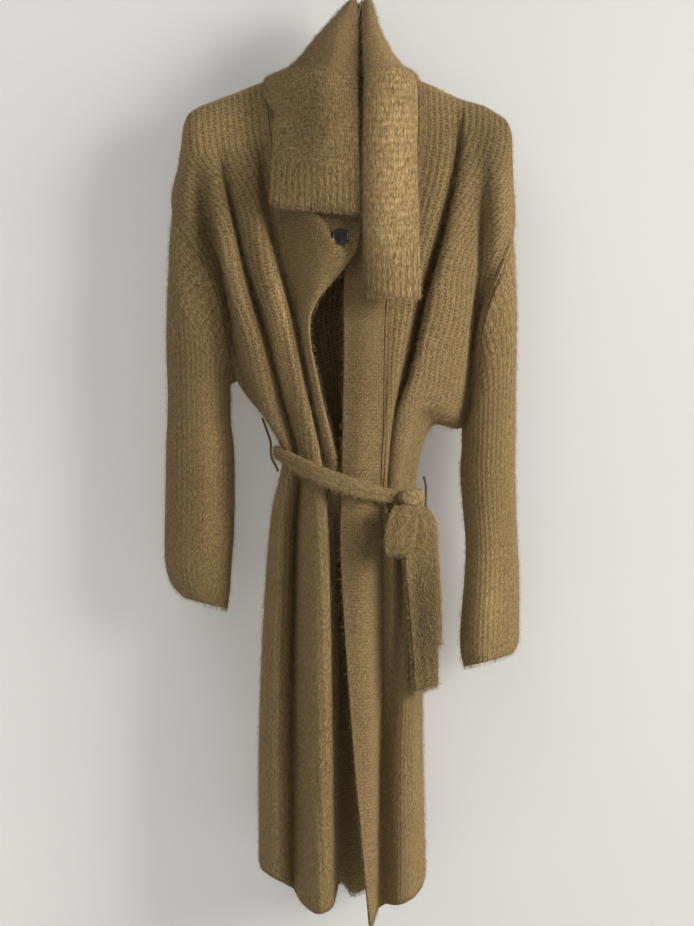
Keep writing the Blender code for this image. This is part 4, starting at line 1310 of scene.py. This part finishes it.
def belt_height(across):
    """The height of the belt's middle: it falls to the left, steeply at first and then less."""
    run = across - BELT_START[0]
    return BELT_START[1] - run * BELT_FALL + run**2 * BELT_EASE


def belt_half(across):
    """Half the belt's height, narrowed by a bell where it turns the side and at the knot."""
    half = np.full(np.shape(across), BELT_HALF_HEIGHT)
    for place, reach, share in BELT_PINCH:
        half = half - BELT_HALF_HEIGHT * share * np.exp(-(((across - place) / reach) ** 2))
    return half


def closed_smooth(path, steps):
    """A closed Catmull-Rom curve: the open one, run on past its ends and cut back."""
    run = np.concatenate([path[-2:], path, path[:3]])
    return smooth(run, (steps,) * (len(run) - 1))[2 * steps : -3 * steps - 1 + steps]


# %% Around the waist
def waist_path(grids, count=40):
    """A closed path round the cloth at the belt: straight sides laid against it, then rounded."""
    points = np.concatenate([grid.reshape(-1, 3) for grid in grids])
    near = np.abs(points[:, 2] - belt_height(points[:, 0])) < BELT_HALF_HEIGHT
    turn = np.linspace(0, 2 * math.pi, count, endpoint=False)
    facing = np.stack([np.cos(turn), np.sin(turn)], -1)
    reach = (points[near, :2] @ facing.T).max(0) + CLOTH / 2 + BELT_CLEAR + BELT_HALF_DEPTH
    pairs = [[i, (i + 1) % count] for i in range(count)]
    path = np.array([np.linalg.solve(facing[pair], reach[pair]) for pair in pairs])
    return (path + (np.roll(path, 1, 0) + np.roll(path, -1, 0)) / 2) / 2


def ring_faces(rings, points, closed):
    """Quads between rings of points, joined round, and end to end if the path is closed."""
    node = np.arange(rings * points).reshape(rings, points)
    after = np.roll(node, -1, 0) if closed else node[1:]
    node = node if closed else node[:-1]
    return np.stack([node, after, np.roll(after, -1, 1), np.roll(node, -1, 1)], -1).reshape(-1, 4)


def closed_tube(rings, sides, turn=1):
    """A tube's faces and a fan at each end, round two points that follow the rings' own."""
    node = np.arange(sides)
    after, last = np.roll(node, -1), (rings - 1) * sides
    tip = np.full(sides, rings * sides)
    faces = ring_faces(rings, sides, False)[:, ::turn].tolist()
    for fan in ((node, after, tip), (after + last, node + last, tip + 1)):
        faces += np.stack(fan, -1)[:, ::turn].tolist()
    return faces


def belt_run(path):
    """The flattened tube round the waist: an oval with soft ridges, turned a little as it goes."""
    path = closed_smooth(path, 8)
    along = unit(np.roll(path, -1, 0) - np.roll(path, 1, 0))
    sideways = np.stack([along[:, 1], -along[:, 0], np.zeros(len(path))], -1)
    middle = np.stack([path[:, 0], path[:, 1], belt_height(path[:, 0])], -1)
    far = np.concatenate([[0], np.cumsum(np.linalg.norm(np.diff(middle, axis=0), axis=-1))])
    turn = np.linspace(0, 2 * math.pi, SECTION, endpoint=False)[None, :]
    sway = far[:, None] / 1000
    pinch = 1 + 0.07 * np.sin(sway * 38) + 0.05 * np.sin(sway * 61 + 1.0)
    fold = 1 - 0.26 * np.exp(-(((np.sin(turn) + 0.15 * np.sin(sway * 30)) / 0.22) ** 2)) * (np.cos(turn) > 0)
    deep = BELT_HALF_DEPTH * np.cos(turn) * fold
    high = belt_half(path[:, :1]) * np.sign(np.sin(turn)) * np.abs(np.sin(turn)) ** 0.85 * pinch
    rings = middle[:, None] + sideways[:, None] * deep[..., None]
    rings[..., 2] += high
    around = np.arange(SECTION) / SECTION * BELT_ROUND
    flat = np.stack(np.broadcast_arrays(around[None, :], far[:, None]), -1).reshape(-1, 2) * MM
    faces = ring_faces(len(path), SECTION, True).tolist()
    made = mesh_object("belt_run_knit", rings.reshape(-1, 3), faces, knit_belt, flat)
    coat["belt_run_knit"] = (rings, unit(rings - middle[:, None]))
    measured(made, f"{far[-1]:.0f} mm round, ")
    return path


belt_path = belt_run(waist_path([right_grid, left_grid, back_grid]))

# %% Bow and tails: middle across, forward, up and half width
BOW = (
    (62, 108, -681, 14),
    (59, 117, -692, 17),
    (55, 120, -712, 18),
    (53, 118, -729, 17),
    (54, 112, -738, 15),
    (58, 107, -729, 15),
    (63, 104, -704, 14),
    (66, 101, -684, 12),
)
FRONT_TAIL = (
    (75, 90, -682, 12),
    (80, 90, -702, 16),
    (81, 90, -745, 20),
    (84, 89, -800, 18),
    (86, 88, -855, 16),
    (88, 86, -905, 14),
)
BACK_TAIL = (
    (78, 79, -685, 12),
    (84, 79, -704, 16),
    (86, 80, -745, 17),
    (88, 80, -800, 18),
    (89, 79, -858, 18),
)
TAIL_SLANT = 0.3
TAIL_TURN = 0.3
STRAP_THICK = 3.6
STRAP_HOLLOW = 2.0


def strap(name, rows, steps, slant=0.0, turn=0.0):
    """A flat strap along its rows, slightly hollow across, with its end cut on the slant."""
    rows = smooth(np.array(rows, float) * (1, -1, 1, 1), (steps,) * (len(rows) - 1))
    share = np.linspace(-1, 1, 25)
    grid = np.repeat(rows[:, None, :3], len(share), axis=1)
    grid[..., 0] += rows[:, 3:] * share
    grid[..., 1] += STRAP_HOLLOW * share**2 + rows[:, 3:] * share * turn
    grid[-1, :, 2] += rows[-1, 3] * slant * share
    across, down = lengths(grid, 1), lengths(grid, 0)
    x, y = across[None, :], down[:, None]
    lift = 0.5 * np.cos(2 * math.pi * x / across[-1] * 2) + 0.4 * np.sin(y / 21.0 + x / 15.0)
    out = normals(grid)
    made = cloth_wall(name, grid, out, knit_belt, lift, x, y, thick=STRAP_THICK)
    coat[name] = (grid + out * (lift + STRAP_THICK / 2)[..., None], out)
    measured(made, f"{across[-1]:.0f} x {down[-1]:.0f} mm, ")


strap("belt_bow_knit", BOW, 6)
strap("belt_tail_front_knit", FRONT_TAIL, 8, TAIL_SLANT, TAIL_TURN)
strap("belt_tail_back_knit", BACK_TAIL, 8, TAIL_SLANT, TAIL_TURN)

# %% [markdown]
# The knot is where one end passes over the other and down. It is a closed surface like a ball,
# drawn out to three half sizes, with hollows where one strand dives under another.

# %% Knot
KNOT_ACROSS = 62
KNOT_TURN = math.radians(38)
KNOT_HALF = (18.0, 8.6, 10.4)
KNOT_CLEAR = 0.6
# Where a strand dives under: across, up, slope, half width and depth, as shares of the ball.
KNOT_HOLLOWS = ((0.15, 0.0, 1.9, 0.16, 0.22), (-0.5, 0.1, 2.3, 0.14, 0.16), (0.6, 0.0, 1.5, 0.12, 0.14))


def ball(name, at, half, turn, look, hollows, squareness=0.8, sides=48, rows=28):
    """A ball by latitude and longitude, its sines raised to a power below one to square it."""
    rise = np.linspace(-math.pi / 2, math.pi / 2, rows + 2)[1:-1, None]
    spin = np.linspace(0, 2 * math.pi, sides, endpoint=False)[None, :]

    def squared(value):
        return np.sign(value) * np.abs(value) ** squareness

    level = squared(np.cos(rise))
    x, y = level * squared(np.cos(spin)), level * squared(np.sin(spin))
    z = np.broadcast_to(squared(np.sin(rise)), x.shape)
    swell = 1.0
    for cx, cz, slope, width, depth in hollows:
        line = (x - cx) * math.sin(slope) - (z - cz) * math.cos(slope)
        swell = swell - depth * np.exp(-((line / width) ** 2)) * (y < 0.2)
    points = np.stack([x * half[0], y * half[1] * swell, z * half[2]], -1).reshape(-1, 3)
    poles = np.array([[0, 0, -half[2]], [0, 0, half[2]]]) * 0.995
    x, y, z = np.concatenate([points, poles]).T
    sine, cosine = math.sin(turn), math.cos(turn)
    points = np.stack([cosine * x - sine * y, sine * x + cosine * y, z], -1) + at
    made = mesh_object(name, points, closed_tube(rows, sides, -1), look, points[:, ::2] * MM)
    grid = points[:-2].reshape(rows, sides, 3)
    coat[name] = (grid, unit(grid - np.array(at)))
    measured(made)


front_path = belt_path[belt_path[:, 1] < 0]
front_path = front_path[np.argsort(front_path[:, 0])]
knot_out = np.array((math.sin(KNOT_TURN), -math.cos(KNOT_TURN)))
knot_at = np.array((KNOT_ACROSS, np.interp(KNOT_ACROSS, front_path[:, 0], front_path[:, 1])))
knot_at = knot_at + knot_out * (BELT_HALF_DEPTH + KNOT_CLEAR + KNOT_HALF[1] - 2.0)
knot_at = (*knot_at, belt_height(KNOT_ACROSS))
ball("belt_knot_knit", knot_at, KNOT_HALF, KNOT_TURN, knit_belt, KNOT_HOLLOWS)

# %% [markdown]
# ## Belt loops, button, hanger and hook
# The loops are chains of yarn from the side seam, over the belt and back. The button is turned
# like a lathe part: a profile from the middle of its face to its back, spun round its axis.

# %% A round section carried along a path
LOOP_RIGHT = (
    (-118.4, 0, -570),
    (-112.8, 0, -586),
    (-107.8, 0, -601),
    (-107.6, 0, -613),
    (-106.0, 0, -623),
    (-101.4, 0, -631),
    (-98.4, 0, -639),
)
LOOP_LEFT = (
    (88.4, 4, -645),
    (90.6, 4, -654),
    (91.3, 4, -663),
    (91.1, 4, -674),
    (90.0, 4, -685),
    (85.0, 4, -693),
    (79.8, 4, -701),
)


def round_cord(name, path, radius, look, sides=10, twist=0.0, steps=10):
    """A closed round cord: rings square to the path, each with a bead's swelling, and end points."""
    path = smooth(np.array(path, float), (steps,) * (len(path) - 1))
    along = unit(np.gradient(path, axis=0))
    across = unit(np.cross(along, (0, 1, 0.02)))
    third = np.cross(along, across)
    far = np.concatenate([[0], np.cumsum(np.linalg.norm(np.diff(path, axis=0), axis=-1))])
    turn = np.linspace(0, 2 * math.pi, sides, endpoint=False)[None, :] + twist * far[:, None]
    size = radius * (1 + 0.16 * np.cos(2 * math.pi * far / 3.2)[:, None] * (twist > 0))
    rings = path[:, None] + (size * np.cos(turn))[..., None] * across[:, None]
    rings = rings + (size * np.sin(turn))[..., None] * third[:, None]
    points = np.concatenate([rings.reshape(-1, 3), path[:1], path[-1:]])
    flat = np.stack(np.broadcast_arrays(np.arange(sides)[None, :] * 1.0, far[:, None]), -1).reshape(-1, 2)
    flat = np.concatenate([flat, [[0, 0], [0, far[-1]]]]) * MM
    made = mesh_object(name, points, closed_tube(len(path), sides), look, flat)
    measured(made, f"{far[-1]:.0f} mm long, ")


round_cord("belt_loop_right_yarn", LOOP_RIGHT, 1.6, knit_belt, twist=0.9)
round_cord("belt_loop_left_yarn", LOOP_LEFT, 1.6, knit_belt, twist=0.9)

# %% Button
BUTTON_AT = np.array((-19.0, -77.8, -348.0))
BUTTON_PROFILE = (
    (0.0, -1.3),
    (4.0, -1.3),
    (6.6, -1.5),
    (7.6, -2.1),
    (8.8, -2.5),
    (10.2, -2.3),
    (11.0, -1.2),
    (11.0, 0.6),
    (10.0, 1.8),
    (0.0, 2.0),
)


def lathe(name, profile, at, look, sides=72):
    """A profile of (radius, depth) spun round the axis that faces forward, closed at both ends."""
    profile = np.array(profile, float)
    turn = np.linspace(0, 2 * math.pi, sides, endpoint=False)
    far, deep = profile[1:-1, :1], np.repeat(profile[1:-1, 1:], sides, 1)
    rings = np.stack([far * np.cos(turn), deep, far * np.sin(turn)], -1)
    ends = profile[[0, -1]][:, [0, 1, 0]]
    points = np.concatenate([rings.reshape(-1, 3), ends]) + at
    measured(mesh_object(name, points, closed_tube(len(rings), sides, -1), look))


lathe("button_resin", BUTTON_PROFILE, BUTTON_AT, horn)

# %% Two crossed threads in its holes: across and forward, the second one over the first
THREAD_RUN = ((-2, -1.2), (-1, -2.0), (0, -2.2), (1, -2.0), (2, -1.2))
for way, slope in enumerate((1, -1)):
    path = [BUTTON_AT + (x, y - 0.5 * way * (x == 0), x * slope) for x, y in THREAD_RUN]
    round_cord(f"button_thread_{way + 1}", path, 0.42, horn, sides=8, steps=4)

# %% The hanger's own solids get their finish
for node, look in (("hanger_bar", beech), ("hanger_hook", nickel)):
    data = bpy.data.objects[node].data
    data.materials.clear()
    data.materials.append(look)

# %% [markdown]
# ## Painted shade in the folds and painted light inside
# Narrow creases between folds get painted shade: their knit is drawn darker than their shape
# alone makes it. A height field of the frontmost cloth is made soft, and what lies well behind it
# is marked. The inner side of the back gets painted light where it faces the opening: its mark
# makes it lighter.

# %% Marks of painted shade for the narrow folds, and of painted light for the inner side
def paint_crease_shade(things, cell=3.0, reach=6, deep=24.0, lost=75.0):
    """Marks how far each point lies behind the cloth round it, from 0 to 1, as painted shade.

    Places far inside the coat, beyond the folds, aren't creases and stay as they are.
    """
    points = [values_of(thing.data.vertices, "co", 3) / MM for thing in things]
    marks = [np.zeros(len(at)) for at in points]
    whole = np.concatenate(points)
    low = whole.min(0) - cell * (reach + 2)
    size = ((whole.max(0) - low) / cell).astype(int) + reach + 3
    place = ((whole - low) / cell).astype(int)
    for way in (-1, 1):
        front = np.full((size[0], size[2]), -40.0)
        np.maximum.at(front, (place[:, 0], place[:, 2]), whole[:, 1] * way)
        near = sum(np.roll(front, step, 0) for step in range(-reach, reach + 1)) / (2 * reach + 1)
        near = sum(np.roll(near, step, 1) for step in range(-2, 3)) / 5
        for at, mark in zip(points, marks):
            spot = ((at - low) / cell).astype(int)
            behind = near[spot[:, 0], spot[:, 2]] - at[:, 1] * way
            share = np.clip(behind / deep, 0, 1) * np.clip((lost - behind) / 20, 0, 1)
            mark[:] = np.where(at[:, 1] * way > 0, share, mark)
    for thing, mark in zip(things, marks):
        thing.data.attributes.new("crease_shade", "FLOAT", "POINT").data.foreach_set("value", mark)


def paint_light_inside(thing, much):
    """Paints light on the inner side where it faces the opening in front: its mark is raised."""
    facing = values_of(thing.data.vertices, "normal", 3)[:, 1]
    mark = thing.data.attributes["painted_light_shade"].data
    kept = values_of(mark, "value")
    mark.foreach_set("value", np.where(facing < -0.1, kept + much, kept))


paint_crease_shade([thing for thing in bpy.data.objects if thing.name.endswith("_knit")])
paint_light_inside(bpy.data.objects["back_knit"], 0.9)

# %% [markdown]
# ## Loose hairs
# Brushing pulls hairs out of the yarn, and they stand as a haze along every outline. Each hair
# is a thin spindle of six triangles: a root, a bent middle with three corners, and a tip. A
# few thousand on each piece are enough for the outline, and more go on raw edges, which shed
# most. The finer haze on the surface stays in the material.

# %% Scattering
HAIR_HALF_WIDTH = 0.17


def scattered(points, out, kept, count):
    """Random places on a grid's cells, chosen by their area: point, normal and the slopes."""
    a, b, c = points[:-1, :-1], points[1:, :-1], points[:-1, 1:]
    area = np.linalg.norm(np.cross(b - a, c - a), axis=-1)
    if kept is not None:
        area = area * kept
    cell = dice.choice(area.size, count, p=area.ravel() / area.sum())
    i, j = np.unravel_index(cell, area.shape)
    s, t = dice.random((2, count, 1))
    spot = points[i, j] * (1 - s) * (1 - t) + points[i + 1, j] * s * (1 - t)
    spot = spot + points[i, j + 1] * (1 - s) * t + points[i + 1, j + 1] * s * t
    down = unit(points[i + 1, j] - points[i, j])
    across = unit(points[i, j + 1] - points[i, j])
    return spot, out[i, j], down, across


def hairs(name, spots, long=(3.5, 8.0), rise=(0.15, 0.9), fall=0.45):
    """Spindles from each spot: they lean down the cloth and to either side, and droop at the tip."""
    spot, out, down, across = spots
    count = len(spot)
    size = dice.uniform(*long, (count, 1))
    way = out * dice.uniform(*rise, (count, 1)) + down * dice.normal(fall, 0.45, (count, 1))
    way = unit(way + across * dice.normal(0, 0.5, (count, 1)))
    middle = spot + way * size * 0.5
    sag = np.array((0, 0, -1.0)) * size * dice.uniform(0.05, 0.3, (count, 1))
    tip = spot + way * size * 0.92 + sag + across * dice.normal(0, 0.12, (count, 1)) * size
    side = unit(np.cross(way, dice.normal(0, 1, (count, 3))))
    third = np.cross(way, side)
    ring = [
        middle + (side * math.cos(turn) + third * math.sin(turn)) * HAIR_HALF_WIDTH
        for turn in np.arange(3) * 2 * math.pi / 3
    ]
    root = spot - out * 0.4
    points = np.stack([root, *ring, tip], 1).reshape(-1, 3)
    pattern = np.array([(0, 2, 1), (0, 3, 2), (0, 1, 3), (4, 1, 2), (4, 2, 3), (4, 3, 1)])
    faces = (pattern[None] + np.arange(count)[:, None, None] * 5).reshape(-1, 3).tolist()
    return mesh_object(name, points, faces, mohair)


def edge_spots(points, out, edge, count):
    """Places along one edge of a grid. Their normal is half the cloth's and half away from it."""
    line = {"top": points, "bottom": points[::-1]}.get(edge)
    facing = {"top": out, "bottom": out[::-1]}.get(edge)
    if line is None:
        way = 1 if edge == "first" else -1
        line, facing = points.swapaxes(0, 1)[::way], out.swapaxes(0, 1)[::way]
    i = dice.integers(0, line.shape[1] - 1, count)
    share = dice.random((count, 1))
    spot = line[0, i] * (1 - share) + line[0, i + 1] * share
    away = unit(line[0, i] - line[2, i])
    along = unit(line[0, i + 1] - line[0, i])
    spot = spot - facing[0, i] * dice.uniform(0, CLOTH, (count, 1))
    return spot, unit(away + facing[0, i] * dice.normal(0, 0.35, (count, 1))), away, along


# Hairs on each piece, and its raw edges, which shed more.
SHEDS = {
    "front_right": (13000,),
    "front_left": (13000,),
    "back": (11500,),
    "band_right": (4000, "last", "bottom"),
    "band_left": (5000, "last", "bottom"),
    "sleeve_right": (7800, "bottom"),
    "sleeve_left": (7800, "bottom"),
    "collar": (12000, "first", "last"),
    "belt_run": (2600,),
    "belt_bow": (900,),
    "belt_tail_front": (1200, "first", "last", "bottom"),
    "belt_tail_back": (900, "first", "last", "bottom"),
    "belt_knot": (300,),
}
EDGE_HAIRS = 350
COLLAR_END_HAIRS = 420
for node, (count, *edges) in SHEDS.items():
    points, out, kept = (*coat[f"{node}_knit"], None)[:3]
    spots = [scattered(points, out, kept, count)]
    spots += [edge_spots(points, out, edge, EDGE_HAIRS) for edge in edges]
    if node == "collar":
        sewn = np.flatnonzero(~kept[-1])
        for end in (slice(0, sewn[0] + 1), slice(sewn[-1] + 1, None)):
            spots.append(edge_spots(points[:, end], out[:, end], "bottom", COLLAR_END_HAIRS))
    hairs(f"{node}_hairs", [np.concatenate(group) for group in zip(*spots)])

# %% [markdown]
# ## What each piece is
# Every knitted piece stands for its solid, which is hidden. The hairs ride with the rest, and so
# do the hanger and its hook, whose solids stay.

# %% The solids that the knitted pieces replace are hidden
STANDS_FOR = {
    **{f"{node}_knit": node for node in SHEDS},
    "belt_loop_right_yarn": "belt_loop_right",
    "belt_loop_left_yarn": "belt_loop_left",
    "button_resin": "button",
}
for name, node in STANDS_FOR.items():
    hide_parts(node)

# %% Sizes against the solids
dressed_box = [list(corner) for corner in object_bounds()]
for axis, label in enumerate("XYZ"):
    low, high = (dressed_box[end][axis] - solid_box[end][axis] for end in (0, 1))
    print(f"{label}: {low * 1000:+.1f} and {high * 1000:+.1f} mm past the solids")
